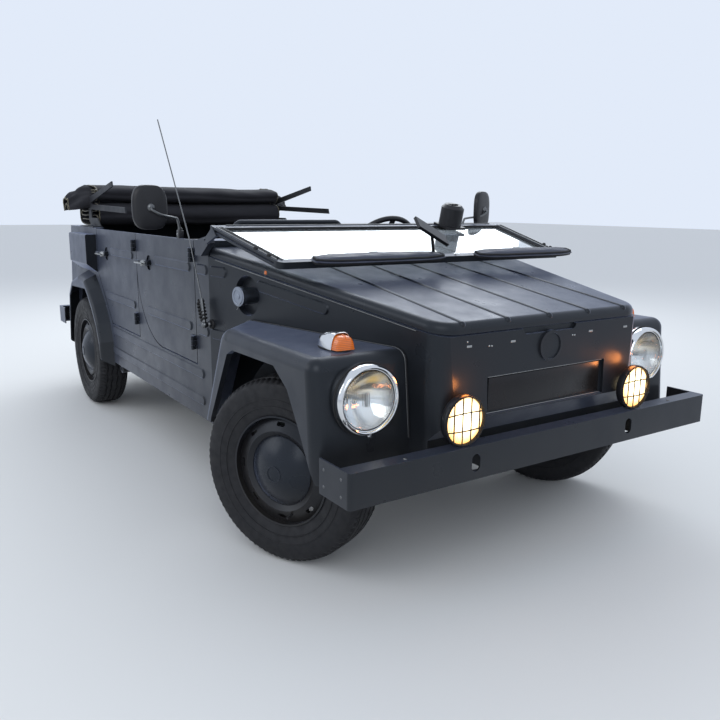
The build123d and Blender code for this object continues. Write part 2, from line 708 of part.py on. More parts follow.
def make_nose():
    """The nose: tapered sides, front panel, luggage well, wheel covers and the filler's cup."""
    outer = nose_block(0, 0)
    inner = nose_block(NOSE_WALL, -BONNET_THICKNESS)
    room = both_sides(wheel_room(WHEEL_ROOM_RADIUS, -BODY_HALF - 1, -WELL_HALF - NOSE_WALL))
    cover = both_sides(wheel_room(WHEEL_ROOM_RADIUS + NOSE_WALL, -BODY_HALF - 1, -WELL_HALF))
    shell = (outer - room) - (inner - cover)
    half = BODY_HALF - NOSE_WALL
    foot_room = block(BODY_FRONT_X - 1, TOE_X + 1, -half, half, FLOOR_Z, FOOT_ROOM_Z)
    shell -= foot_room & upward(nose_plan(NOSE_WALL), FLOOR_Z, FOOT_ROOM_Z)
    shelf = block(BODY_FRONT_X + NOSE_WALL, TOE_X, -half, half, FOOT_ROOM_Z, FOOT_ROOM_Z + FLOOR_SHEET)
    shell += shelf & nose_block(NOSE_WALL / 2, 0)
    for ahead, z, length, tilt in NOSE_RIBS:
        shell += both_sides(rib(nose_plane(BODY_FRONT_X + ahead, z), length, tilt))
    plane = nose_plane(BODY_FRONT_X + FILLER_AHEAD, FILLER_Z)
    floor_plane = plane.offset(-FILLER_CUP_DEPTH - FILLER_SKIN)
    cup_radius = FILLER_CUP_RADIUS + FILLER_SKIN
    shell -= extrude(floor_plane * Circle(cup_radius), FILLER_CUP_DEPTH * 2)
    cup = extrude(floor_plane * Circle(cup_radius), FILLER_CUP_DEPTH + FILLER_SKIN)
    cup -= extrude(plane.offset(-FILLER_CUP_DEPTH) * Circle(FILLER_CUP_RADIUS), FILLER_CUP_DEPTH * 2)
    shell += cup
    return front_panel_detail(shell) - steering_shaft(COLUMN_RADIUS + 2)


def front_panel_detail(shell):
    """The front panel's plate recess, grip under the bonnet's edge and plain round badge seat."""
    low, high = PLATE_RECESS
    low_x, high_x = panel_x(low), panel_x(high)
    proud = NOSE_WALL
    recess = across(outline((
        (low_x - PLATE_DEPTH, low), (high_x - PLATE_DEPTH, high),
        (high_x + proud, high), (low_x + proud, low),
    )), -PLATE_HALF, PLATE_HALF)
    grip = forward(Pos(0, NOSE_CORNER_Z) * SlotOverall(GRIP_WIDTH, GRIP_HEIGHT), NOSE_FRONT_X - GRIP_DEPTH,
                   NOSE_FRONT_X + proud)
    seat_x = panel_x(BADGE_Z)
    rim, rise, dish = 8, 7, 4
    disc = forward(Pos(0, BADGE_Z) * Circle(BADGE_RADIUS), seat_x - rise, seat_x + rise)
    disc -= forward(Pos(0, BADGE_Z) * Circle(BADGE_RADIUS - rim), seat_x + rise - dish, seat_x + rise + 1)
    return shell - recess - grip + disc


def make_bonnet():
    """The bonnet: a tray with round edges, long beads and hinge barrels."""
    rear_z = nose_edge_z(BONNET_REAR_X) + BONNET_SEAM
    front_z = nose_edge_z(NOSE_FRONT_X) + BONNET_SEAM
    profile = outline((
        (BONNET_REAR_X, rear_z), (NOSE_FRONT_X, front_z), (NOSE_FRONT_X, front_z + BONNET_THICKNESS),
        (BONNET_REAR_X, rear_z + BONNET_THICKNESS),
    ))
    near, far = nose_half(BONNET_REAR_X), NOSE_CORNER_HALF
    plan = outline(
        ((BONNET_REAR_X, -near), (NOSE_FRONT_X, -far), (NOSE_FRONT_X, far), (BONNET_REAR_X, near)),
        ((1, NOSE_CORNER_RADIUS), (2, NOSE_CORNER_RADIUS)))
    lid = across(profile, -BODY_HALF, BODY_HALF) & upward(plan, FOOT_ROOM_Z, SHIELD_REAR_Z)
    upper = max(lid.faces(), key=lambda face: face.normal_at().Z * face.area)
    edges = [edge for edge in upper.edges() if edge.center().X > BONNET_REAR_X + 1]
    lid = fillet(edges, BONNET_EDGE_RADIUS)
    sink = BEAD_RADIUS - BEAD_RISE
    start_x = BONNET_REAR_X + NOSE_CORNER_RADIUS
    end_x = NOSE_FRONT_X - BONNET_EDGE_RADIUS / 2
    for number in range(BONNET_BEADS):
        y = (number - (BONNET_BEADS - 1) / 2) * BEAD_PITCH
        ends = [(x, y, nose_edge_z(x) + BONNET_SEAM + BONNET_THICKNESS - sink) for x in (start_x, end_x)]
        lid += rod(*ends, BEAD_RADIUS)
        for end in ends:
            lid += Pos(*end) * Sphere(BEAD_RADIUS)
    return hung(lid, *bonnet_hinge(), BONNET_HINGES)


def bonnet_hinge():
    """The bonnet's hinge axis in x and z: its top rear edge."""
    return BONNET_REAR_X, BONNET_REAR_Z + BONNET_SEAM + BONNET_THICKNESS


def make_cowl():
    """The cowl with the dash under it, the bonnet's hinge ears and the passenger's grab rail."""
    lip = DASH_SHEET + 4
    dash_x = BODY_FRONT_X - DASH_DEPTH
    foot_x = dash_x + DASH_SLANT
    front_low = BONNET_REAR_Z - BONNET_THICKNESS
    profile = outline((
        (BODY_FRONT_X, front_low), (BODY_FRONT_X, BELT_Z), (dash_x, BELT_Z), (dash_x - lip / 2, BELT_Z - lip),
        (foot_x, DASH_BOTTOM_Z), (foot_x + DASH_SHEET, DASH_BOTTOM_Z), (dash_x + DASH_SHEET, BELT_Z - lip),
        (BODY_FRONT_X - DASH_SHEET, BELT_Z - lip), (BODY_FRONT_X - DASH_SHEET, front_low),
    ))
    cowl = across(profile, -INNER_HALF, INNER_HALF)
    x, z = bonnet_hinge()
    web_ends = ((BODY_FRONT_X - 1, x), (z - BARREL_RADIUS, z + BARREL_RADIUS))
    cowl += hinge_ears(x, z, web_ends, BONNET_HINGES)
    rail_x, foot_z = BODY_FRONT_X - GRAB_SETBACK, BELT_Z - 2
    outer, inner = -BODY_HALF + GRAB_INSET, -GRAB_RADIUS * 4
    route = (
        (rail_x, outer, foot_z), (rail_x, outer, GRAB_Z), (rail_x, inner, GRAB_Z), (rail_x, inner, foot_z),
    )
    return cowl + bent_rod(route, GRAB_BEND, GRAB_RADIUS)


def front_fender_block(shrink):
    """The right front fender as a solid, drawn in by a skin thickness, with round outer edges."""
    half = FENDER_HALF - shrink
    top, low = FENDER_TOP_Z - shrink, FENDER_LOW_Z - shrink
    front = FRONT_X - FENDER_FRONT_INSET - shrink
    rear_low, rear_top = (FRONT_AXLE_X - setback + shrink for setback in FENDER_REAR_SETBACKS)
    beyond = WHEELBASE
    straight = across(outline((
        (front - beyond, low), (front + FENDER_FRONT_LEAN, low), (front, top), (front - beyond, top),
    )), -half, 0)
    swept_face = outline((
        (rear_low, low), (front + beyond, low), (front + beyond, top), (rear_top, top),
    ), ((3, FENDER_BEND - shrink),))
    swept = extrude(Plane.XZ.offset(half) * swept_face, half * 2, dir=(-1, 1, 0))
    solid = straight & swept

    def rounded(edge):
        """Whether an edge is on the outer side above the bottom, or at the top of the front face."""
        centre = edge.center()
        at_side = abs(centre.Y + half) < 1 and centre.Z > low + 1
        return at_side or (abs(centre.X - front) < 1 and abs(centre.Z - top) < 1)

    return fillet([edge for edge in solid.edges() if rounded(edge)], FENDER_RADIUS - shrink)


def nose_side_room():
    """All that lies inboard of the nose's side planes and of the body sides."""
    behind, ahead = BODY_FRONT_X - WHEELBASE / 2, FRONT_X
    return upward(outline((
        (behind, -BODY_HALF), (BODY_FRONT_X, -BODY_HALF), (ahead, -nose_half(ahead)), (ahead, 0), (behind, 0),
    )), 0, BELT_Z)


def make_front_fenders():
    """Folded front fenders with a rolled lip round the wheel opening and a seat for each headlamp."""
    outer = front_fender_block(0)
    arch = outline(placed(FRONT_ARCH, FRONT_AXLE_X))
    lip_face = offset(arch, amount=FENDER_SKIN / 2, kind=Kind.INTERSECTION) - arch
    lip = across(lip_face, -FENDER_HALF, -FENDER_HALF + LIP_WIDTH) & outer
    shell = outer - front_fender_block(FENDER_SKIN) - across(arch, -FENDER_HALF - 1, 1)
    shell = shell + lip - nose_side_room()
    x, y, z = headlamp_place()
    hole = forward(Pos(-y, z) * Circle(HEADLAMP_RADIUS - LAMP_RIM + 1), x - HEADLAMP_PROUD * 2, x)
    return both_sides(shell - hole)


def rear_fender_block(shrink):
    """The right rear fender as a solid, drawn in by a skin thickness, with a round outer edge."""
    face = outline(placed(REAR_FENDER, REAR_AXLE_X))
    if shrink:
        face = offset(face, amount=-shrink, kind=Kind.INTERSECTION)
    solid = extrude(Plane.XZ.offset(BODY_HALF) * face, REAR_FENDER_REACH - shrink, taper=REAR_FENDER_FLARE)
    outer = solid.faces().sort_by(Axis.Y)[0]
    edges = [edge for edge in outer.edges() if edge.center().Z > SILL_Z]
    return fillet(edges, REAR_FENDER_RADIUS - shrink)


def make_rear_fenders():
    """Rear wheel brows, swept toward their outer edge."""
    arch = outline(placed(REAR_ARCH, REAR_AXLE_X))
    shell = rear_fender_block(0) - rear_fender_block(FENDER_SKIN)
    return both_sides(shell - across(arch, -REAR_FENDER_HALF - 1, -BODY_HALF + 1))


def channel(half, face_x, inward):
    """A bumper of folded channel with its ends turned back; inward is the sign of its depth."""
    low = BUMPER_TOP_Z - BUMPER_HEIGHT
    sheet = BUMPER_SHEET
    back_x = face_x + inward * BUMPER_DEPTH
    bar = block(min(face_x, back_x), max(face_x, back_x), -half, half, low, BUMPER_TOP_Z)
    corners = [edge for edge in bar.edges().filter_by(Axis.Z) if abs(edge.center().X - face_x) < 1]
    bar = fillet(corners, BUMPER_BEND)
    inside = (face_x + inward * sheet, back_x + inward)
    bar -= block(min(inside), max(inside), -half + sheet, half - sheet, low + sheet, BUMPER_TOP_Z - sheet)
    ends = (back_x, face_x + inward * BUMPER_RETURN)
    wing = block(min(ends), max(ends), -half, -half + sheet, low, BUMPER_TOP_Z)
    return bar + both_sides(wing)


def bumper_bracket(face_x, back_low_x, back_high_x):
    """A flat bracket from the bumper's inside to the body behind it."""
    low, high = NOSE_BOTTOM_Z + 2, BUMPER_TOP_Z - BUMPER_SHEET * 4
    plate = outline(((face_x, low), (back_low_x, low), (back_high_x, high), (face_x, high)))
    half = BUMPER_BRACKET_WIDTH / 2
    return across(plate, -BUMPER_BRACKET_Y - half, -BUMPER_BRACKET_Y + half)


def make_front_bumper():
    """The front bumper with its two upright slots and its brackets."""
    bar = channel(BUMPER_HALF, FRONT_X, -1)
    slot_z = BUMPER_TOP_Z - BUMPER_HEIGHT / 2
    for y in (-BUMPER_SLOT_Y, BUMPER_SLOT_Y):
        slot = Pos(y, slot_z) * SlotOverall(*BUMPER_SLOT, rotation=90)
        bar -= forward(slot, FRONT_X - BUMPER_DEPTH, FRONT_X + 1)
    chin_x = NOSE_FRONT_X - CHIN_INSET
    return bar + both_sides(bumper_bracket(FRONT_X - BUMPER_SHEET, chin_x, chin_x))


def make_rear_bumper():
    """The rear bumper with its brackets on the rear panel."""
    bar = channel(REAR_BUMPER_HALF, REAR_X, 1)
    low, high = NOSE_BOTTOM_Z + 2, BUMPER_TOP_Z - BUMPER_SHEET * 4
    return bar + both_sides(bumper_bracket(REAR_X + BUMPER_SHEET, rear_x(low), rear_x(high)))


def dome_middle(radius, rise):
    """Half way along a round dome's profile: its distance from the axis and its height."""
    sphere = (radius ** 2 + rise ** 2) / (2 * rise)
    half_angle = asin(radius / sphere) / 2
    return sphere * sin(half_angle), sphere * cos(half_angle) - (sphere - rise)


def lamp(place, radius, rim_depth, bowl_radius, bowl_depth, bulge):
    """A round lamp facing forward: a bowl, a rim and a domed lens in one turned shape."""
    lens = radius * 0.86
    across_dome, along_dome = dome_middle(lens, bulge)
    back = -rim_depth - bowl_depth
    section = make_face([
        Line((back, 0), (back, bowl_radius)),
        Line((back, bowl_radius), (-rim_depth, bowl_radius)),
        Line((-rim_depth, bowl_radius), (-rim_depth, radius)),
        Line((-rim_depth, radius), (0, radius)),
        Line((0, radius), (0, lens)),
        ThreePointArc((0, lens), (along_dome, across_dome), (bulge, 0)),
        Line((bulge, 0), (back, 0)),
    ])
    return Pos(*place) * revolve(section, Axis.X)


def fender_front_x(z):
    """Where the front fender's front face is at a height."""
    share = (FENDER_TOP_Z - z) / (FENDER_TOP_Z - FENDER_LOW_Z)
    return FRONT_X - FENDER_FRONT_INSET + share * FENDER_FRONT_LEAN


def headlamp_place():
    """The headlamp rim's centre: on the middle of the fender's front face."""
    x = fender_front_x(HEADLAMP_Z) + HEADLAMP_PROUD
    return x, (nose_half(x) + FENDER_HALF) / 2, HEADLAMP_Z


def make_headlamps():
    """Round headlamps, with their rims standing proud of the fenders."""
    x, y, z = headlamp_place()
    rim_depth = HEADLAMP_PROUD - (fender_front_x(z - HEADLAMP_RADIUS) - fender_front_x(z))
    bowl_radius = HEADLAMP_RADIUS - LAMP_RIM
    return both_sides(lamp((x, -y, z), HEADLAMP_RADIUS, rim_depth, bowl_radius, LAMP_BOWL, HEADLAMP_BULGE))


def make_fog_lamps():
    """Round fog lamps on short feet on the front bumper."""
    rim_depth, bowl_depth = 16, 12
    x = FRONT_X - FOG_LAMP_BULGE
    z = BUMPER_TOP_Z + FOG_LAMP_FOOT + FOG_LAMP_RADIUS
    y, radius = -FOG_LAMP_Y, FOG_LAMP_RADIUS
    body = lamp((x, y, z), radius, rim_depth, radius - LAMP_RIM, bowl_depth, FOG_LAMP_BULGE)
    half, foot_x = 12, x - rim_depth - bowl_depth / 2
    foot = block(foot_x - half / 2, foot_x + half / 2, y - half, y + half, BUMPER_TOP_Z, z - radius / 2)
    return both_sides(body + foot)


def make_signals():
    """Front turn lamps on the fenders and upright tail lamps on the rear panel."""
    x, _, _ = headlamp_place()
    middle_x = FRONT_AXLE_X + SIGNAL_AHEAD
    y = -(nose_half(middle_x) + FENDER_HALF) / 2
    base, taper = 9, 18
    place = Pos(middle_x, y)
    foot = upward(place * SlotOverall(SIGNAL_LENGTH, SIGNAL_WIDTH), FENDER_TOP_Z, FENDER_TOP_Z + base)
    cap = place * RectangleRounded(SIGNAL_LENGTH - 2 * base, SIGNAL_WIDTH - 2 * base, base)
    front = foot + extrude(Plane.XY.offset(FENDER_TOP_Z + base) * cap, SIGNAL_HEIGHT - base, taper=taper)
    width, height, depth = TAIL_LAMP_SIZE
    low, high = TAIL_LAMP_LOW_Z, TAIL_LAMP_LOW_Z + height
    low_x, high_x = rear_x(low), rear_x(high)
    face = outline(((low_x, low), (high_x, high), (high_x - depth, high - base), (low_x - depth, low + base)))
    tail = across(face, -TAIL_LAMP_Y - width / 2, -TAIL_LAMP_Y + width / 2)
    return both_sides(front) + both_sides(tail)


def shield_plane():
    """The folded windshield's plane: x runs down its slope to the front, z is square to the glass."""
    dx = SHIELD_FRONT[0] - SHIELD_REAR[0]
    dz = SHIELD_FRONT[1] - SHIELD_REAR[1]
    return Plane(origin=(SHIELD_REAR[0], 0, SHIELD_REAR[1]), x_dir=(dx, 0, dz), z_dir=(-dz, 0, dx))


def shield_half(along):
    """Half the windshield's width at a distance down its slope."""
    return SHIELD_REAR_HALF + (SHIELD_FRONT_HALF - SHIELD_REAR_HALF) * along / SHIELD_LENGTH


def shield_face(inset):
    """The windshield's outline drawn in by an inset, with round corners."""
    near, far = shield_half(inset) - inset, shield_half(SHIELD_LENGTH - inset) - inset
    end = SHIELD_LENGTH - inset
    radius = SHIELD_CORNER - inset / 2
    return outline(((inset, -near), (end, -far), (end, far), (inset, near)), ((1, radius), (2, radius)))


def make_shield_frame():
    """The windshield frame folded forward: a grooved channel all round, and its side arms."""
    plane = shield_plane()
    frame = extrude(plane.offset(-SHIELD_DEPTH) * shield_face(0), SHIELD_DEPTH)
    frame -= extrude(plane.offset(-SHIELD_DEPTH - 1) * shield_face(SHIELD_TUBE), SHIELD_DEPTH + 2)
    start, end = SHIELD_TUBE, SHIELD_LENGTH - SHIELD_TUBE
    near, far = shield_half(start), shield_half(end)
    beside = outline((
        (start, -near - 1), (end, -far - 1), (end, -far + SHIELD_GROOVE), (start, -near + SHIELD_GROOVE),
    ))
    groove = extrude(plane.offset(-(SHIELD_DEPTH + SHIELD_GROOVE) / 2) * beside, SHIELD_GROOVE)
    frame -= both_sides(groove)
    px, pz = PIVOT
    top_x, top_z = SHIELD_REAR
    eye, thick = SHIELD_EYE_RADIUS, SHIELD_ARM
    arm = across(outline((
        (px - eye, pz - eye / 2), (px + eye, pz - eye), (top_x + eye * 3, top_z - SHIELD_DEPTH - thick),
        (top_x + thick, top_z - thick / 2),
    )), -SHIELD_REAR_HALF, -SHIELD_REAR_HALF + thick)
    bore_radius = HINGE_PIN_RADIUS + PIN_CLEARANCE
    bore = cross_rod(px, pz, -SHIELD_REAR_HALF - 1, -SHIELD_REAR_HALF + thick + 1, bore_radius)
    return frame + both_sides(arm - bore)


def make_glass():
    """The windshield's glass, seated in the middle of its frame."""
    middle = -(SHIELD_DEPTH + GLASS_THICKNESS) / 2
    return extrude(shield_plane().offset(middle) * shield_face(SHIELD_TUBE), GLASS_THICKNESS)


# The sun visors' ends from the right to the left, their reach ahead of the frame's front rail and over it
VISOR_ENDS = ((-557, 7), (163, 695))
VISOR_REACH = 62
VISOR_LAP = 14
VISOR_LIFT = 1
VISOR_THICKNESS = 22
VISOR_TAPER = 35


def make_visors():
    """Two padded sun visors with pointed ends, lying over the folded windshield's front rail."""
    visors = Part()
    middle = SHIELD_LENGTH + (VISOR_REACH - VISOR_LAP) / 2
    for start, end in VISOR_ENDS:
        centre = (start + end) / 2
        lens = make_face([
            ThreePointArc((middle, start), (SHIELD_LENGTH + VISOR_REACH, centre), (middle, end)),
            ThreePointArc((middle, end), (SHIELD_LENGTH - VISOR_LAP, centre), (middle, start)),
        ])
        visors += extrude(shield_plane().offset(VISOR_LIFT) * lens, VISOR_THICKNESS, taper=VISOR_TAPER)
    return visors


# The inner mirror's width, height, depth, tilt and roll, and its stalk's foot and head in y
INNER_MIRROR = (168, 56, 12, 62, 25)
MIRROR_STALK = (-8, -40)
MIRROR_STALK_HEIGHT = 92

# The wiper motor's radius, height, seat height and bevel, and its middle in y
WIPER_MOTOR = (50, 90, 10, 14)
WIPER_MOTOR_Y = 380

# The visors' clips: their middles in y, half their width, and their height
CLIP_PLACES = (-275, 429)
CLIP_HALF = 16
CLIP_HEIGHT = 18


def make_shield_fittings():
    """The visors' clips, the inner mirror on its stalk and the wiper motor, all on the windshield."""
    plane = shield_plane()
    front, rail = SHIELD_LENGTH - VISOR_LAP - CLIP_HALF / 4, SHIELD_LENGTH - SHIELD_TUBE
    fittings = Part()
    for y in CLIP_PLACES:
        fittings += block(rail, front, y - CLIP_HALF, y + CLIP_HALF, 0, CLIP_HEIGHT)
    width, height, depth, tilt, roll = INNER_MIRROR
    stalk_x, (foot_y, head_y) = SHIELD_LENGTH - SHIELD_TUBE / 2, MIRROR_STALK
    head_place = (stalk_x, head_y, MIRROR_STALK_HEIGHT)
    above = block(0, SHIELD_LENGTH, -BODY_HALF, BODY_HALF, 0, MIRROR_STALK_HEIGHT)
    fittings += rod((stalk_x, foot_y, 0), head_place, depth / 2) & above
    fittings += Pos(*head_place) * Rot(-roll, 0, 0) * Rot(0, -tilt, 0) * Box(depth, width, height)
    radius, motor_height, seat_height, bevel = WIPER_MOTOR
    x, y = radius + 2, WIPER_MOTOR_Y
    fittings += block(2, x * 2, y - radius, y + radius, 0, seat_height)
    motor = post(x, y, seat_height, seat_height + motor_height, radius)
    fittings += chamfer(motor.edges().group_by(Axis.Z)[-1], bevel)
    return plane * fittings


def make_shield_brackets():
    """The fixed brackets outboard of the bonnet that carry the windshield's pivot pins."""
    px, pz = PIVOT
    outer = -SHIELD_REAR_HALF + SHIELD_ARM + SHIELD_ARM_CLEARANCE
    clear = -BODY_HALF - 4
    tip, margin = SHIELD_ARM, 4
    foot_x, foot_z = BODY_FRONT_X - SHIELD_FOOT, BELT_Z - SHIELD_FOOT
    foot = across(outline((
        (foot_x, foot_z), (BODY_FRONT_X, foot_z), (px + tip, pz - tip), (px - tip, pz + tip),
        (foot_x, BELT_Z),
    )), outer, clear)
    pad = block(foot_x + margin, BODY_FRONT_X - margin, clear, -BODY_HALF, foot_z + margin, BELT_Z - margin)
    pin = cross_rod(px, pz, -SHIELD_REAR_HALF - 2, clear, HINGE_PIN_RADIUS)
    return both_sides(foot + pad + pin)


# The front axle: how far its torsion tubes lie ahead, above and below the axle
BEAM_AHEAD = 120
BEAM_SPREAD = 60
BEAM_HALF = KINGPIN_HALF - 150
BEAM_RADIUS = 28
LINK_HALF = 10
ARM_SHEET = 20


def make_front_axle():
    """Torsion tubes, trailing arms and the links that hold the steering pivots."""
    x, beam_x = FRONT_AXLE_X, FRONT_AXLE_X + BEAM_AHEAD
    mount_half, arm_half = BEAM_HALF * 2 / 3, BEAM_RADIUS / 2
    half_sheet = ARM_SHEET / 2
    axle = block(beam_x - half_sheet, beam_x + half_sheet, -mount_half, mount_half, AXLE_Z - BEAM_SPREAD,
                 NOSE_BOTTOM_Z)
    for side in (-1, 1):
        z = AXLE_Z + side * BEAM_SPREAD
        axle += cross_rod(beam_x, z, -BEAM_HALF, BEAM_HALF, BEAM_RADIUS)
        arm = block(x - arm_half, beam_x, -BEAM_HALF - half_sheet, -BEAM_HALF + half_sheet, z - arm_half,
                    z + arm_half)
        low, high = z + side * arm_half - LINK_HALF, z + side * arm_half + LINK_HALF
        link = block(x - arm_half, x + arm_half, -KINGPIN_HALF, -BEAM_HALF, low, high)
        eye = post(x, -KINGPIN_HALF, low, high, KINGPIN_RADIUS * 2)
        bore = post(x, -KINGPIN_HALF, low - 1, high + 1, KINGPIN_RADIUS + PIN_CLEARANCE)
        axle += both_sides(arm + link + eye - bore)
    return axle


def make_knuckle(side):
    """One front knuckle with its kingpin, spindle and brake drum, steered with its wheel."""
    x, y = FRONT_AXLE_X, -KINGPIN_HALF
    pin_half = BEAM_SPREAD + BEAM_RADIUS / 2 + LINK_HALF
    body_half = BEAM_SPREAD - 2
    drum_width = 24
    drum_y = -FRONT_TRACK / 2 + drum_width / 2
    pin = post(x, y, AXLE_Z - pin_half, AXLE_Z + pin_half, KINGPIN_RADIUS)
    body = post(x, y, AXLE_Z - body_half, AXLE_Z + body_half, KINGPIN_RADIUS * 3 / 2)
    drum = cross_rod(x, AXLE_Z, drum_y + drum_width, drum_y, DRUM_RADIUS)
    spindle = cross_rod(x, AXLE_Z, y, hub_face_y(FRONT_TRACK), SPINDLE_RADIUS)
    return steered(one_side(pin + body + drum + spindle, side), side)


def hub_face_y(track):
    """Where a wheel's disc meets its hub, on the right side."""
    return -track / 2 - RIM_WIDTH / 2 + DISC_INSET + PIN_CLEARANCE


def steered(piece, side):
    """Turn a front wheel piece about its steering pivot into the rest position."""
    pivot = Axis((FRONT_AXLE_X, side * KINGPIN_HALF, 0), (0, 0, 1))
    return piece.rotate(pivot, STEER_AT_REST)


def wheel_at(piece, x, y, side):
    """Place a wheel piece, drawn with its axis along -Y and facing right, on its axle."""
    return one_side(Pos(x, -y, AXLE_Z) * piece, side)


# The tyre's section from bead to tread: depth below the tread, and distance in from the sidewall
TYRE_SECTION = ((56, 0), (16, 7), (0, 34))
BEAD_INSET = 18
DISC_INSET = 30


def tyre_shape():
    """A tyre ring with a flat tread and sloping shoulders, turned about Y."""
    half = TYRE_WIDTH / 2
    one = [(TYRE_RADIUS - depth, half - inset) for depth, inset in TYRE_SECTION]
    one.insert(0, (RIM_SEAT_RADIUS, half - BEAD_INSET))
    other = [(radius, -along) for radius, along in reversed(one)]
    return revolve(outline((*one, *other)), Axis.Y)


def rim_shape():
    """A pressed wheel: barrel, dished disc with slots and domed cap, turned about Y and facing -Y."""
    half = RIM_WIDTH / 2
    thick = RIM_SHEET
    disc_y = -half + DISC_INSET
    dish, step = 22, 20
    base_y = disc_y - thick - 10
    cap = HUB_CAP_RADIUS
    across_dome, along_dome = dome_middle(cap, HUB_CAP_RISE)
    seat = RIM_SEAT_RADIUS
    section = make_face([
        Line((0, disc_y), (seat - thick, disc_y)),
        Line((seat - thick, disc_y), (seat - thick, half)),
        Line((seat - thick, half), (seat, half)),
        Line((seat, half), (seat, -half)),
        Line((seat, -half), (seat - thick, -half)),
        Line((seat - thick, -half), (seat - thick, disc_y - thick)),
        Line((seat - thick, disc_y - thick), (cap + step, disc_y - thick - dish)),
        Line((cap + step, disc_y - thick - dish), (cap, base_y)),
        ThreePointArc((cap, base_y), (across_dome, base_y - along_dome), (0, base_y - HUB_CAP_RISE)),
        Line((0, base_y - HUB_CAP_RISE), (0, disc_y)),
    ])
    rim = revolve(section, Axis.Y)
    slot_radius = (seat - thick + cap + step) / 2
    for number in range(RIM_SLOTS):
        slot = Plane.XZ * (Pos(slot_radius, 0) * SlotOverall(*RIM_SLOT, rotation=90))
        rim -= Rot(0, number * 360 / RIM_SLOTS, 0) * extrude(slot, half, both=True)
    return rim


# The rear axle: how far its cross tube lies ahead of and above the axle
TUBE_AHEAD = 260
TUBE_RISE = 20
TUBE_HALF = 460
TUBE_RADIUS = 38
AXLE_TUBE_RADIUS = 32


def make_rear_axle():
    """The cross tube, trailing arms and swing axle tubes with their drums."""
    x, tube_x, tube_z = REAR_AXLE_X, REAR_AXLE_X + TUBE_AHEAD, AXLE_Z + TUBE_RISE
    tube = cross_rod(tube_x, tube_z, -TUBE_HALF, -GEARBOX_HALF, TUBE_RADIUS)
    half = TUBE_RADIUS - 4
    arm = block(x - half, tube_x, -TUBE_HALF - ARM_SHEET, -TUBE_HALF, tube_z - half, tube_z + half)
    axle = cross_rod(x, AXLE_Z, -GEARBOX_HALF, hub_face_y(REAR_TRACK), AXLE_TUBE_RADIUS)
    drum_y, drum_width = -REAR_TRACK / 2 + 2, 44
    drum = cross_rod(x, AXLE_Z, drum_y + drum_width, drum_y, DRUM_RADIUS)
    return both_sides(tube + arm + axle + drum)


def make_engine():
    """The engine and gearbox as plain blocks, with the silencer and its two tail pipes."""
    bell_x = REAR_AXLE_X - BELL_SETBACK
    engine = block(REAR_TOP_X + SHEET, bell_x, -ENGINE_HALF, ENGINE_HALF, *ENGINE_HEIGHTS)
    gearbox = block(bell_x, REAR_AXLE_X + GEARBOX_AHEAD, -GEARBOX_HALF, GEARBOX_HALF, *GEARBOX_HEIGHTS)
    silencer_x, silencer_z = REAR_TOP_X - WALL, ENGINE_HEIGHTS[0] - SHEET
    engine += cross_rod(silencer_x, silencer_z, -ENGINE_HALF, ENGINE_HALF, SILENCER_RADIUS)
    pipe_radius, pipe_y, pipe_drop = 16, 180, 30
    for y in (-pipe_y, pipe_y):
        pipe_z = silencer_z - pipe_drop
        engine += rod((silencer_x, y, pipe_z), (REAR_X + BUMPER_RETURN, y, pipe_z), pipe_radius)
    return engine + gearbox


def front_seat_place():
    """The right front seat's middle in y, and half its width."""
    inner, outer = TUNNEL_HALF + FLOOR_SHEET + SEAT_CLEARANCE, INNER_HALF - WALL - SEAT_CLEARANCE
    return -(inner + outer) / 2, (outer - inner) / 2


def padded_seat(x_front, depth, y, half):
    """A cushion with its leaning back, as plain rounded pads."""
    low = SEAT_TOP_Z - CUSHION_THICKNESS
    radius = SEAT_BACK_THICKNESS / 4
    cushion = block(x_front - depth, x_front, y - half, y + half, low, SEAT_TOP_Z)
    back = block(-SEAT_BACK_THICKNESS / 2, SEAT_BACK_THICKNESS / 2, y - half, y + half, 0, SEAT_BACK_HEIGHT)
    back = Pos(x_front - depth, 0, SEAT_TOP_Z - WALL) * Rot(0, -SEAT_LEAN, 0) * fillet(back.edges(), radius)
    return fillet(cushion.edges(), radius) + back


# The front seats: how far their front edge lies behind the dash, and their depth
FRONT_SEAT_SETBACK = 140
FRONT_SEAT_DEPTH = 490
REAR_SEAT_DEPTH = 350
REAR_SEAT_HALF = 530
REAR_SEAT_AHEAD = 80
SEAT_LIFT = 0.5


def make_front_seats():
    """The two front seats' pads."""
    y, half = front_seat_place()
    x_front = BODY_FRONT_X - DASH_DEPTH - FRONT_SEAT_SETBACK
    return both_sides(padded_seat(x_front, FRONT_SEAT_DEPTH, y, half))


def make_seat_frames():
    """Tube legs and runners under the front seats."""
    y, half = front_seat_place()
    x_front = BODY_FRONT_X - DASH_DEPTH - FRONT_SEAT_SETBACK - WALL
    x_rear = x_front - FRONT_SEAT_DEPTH + WALL * 3
    leg, rail, runner = 10, 12, 16
    floor, top = FLOOR_Z + FLOOR_SHEET, SEAT_TOP_Z - CUSHION_THICKNESS - SEAT_LIFT
    frame = Part()
    for leg_y in (y - half + WALL, y + half - WALL):
        frame += block(x_rear - WALL, x_front + runner, leg_y - runner, leg_y + runner, floor, floor + rail)
        for x in (x_rear, x_front):
            frame += post(x, leg_y, floor, top - rail, leg)
        frame += rod((x_rear - runner, leg_y, top - rail), (x_front + runner, leg_y, top - rail), rail)
    for x in (x_rear, x_front):
        frame += cross_rod(x, top - rail, y - half + WALL, y + half - WALL, leg)
    return both_sides(frame)


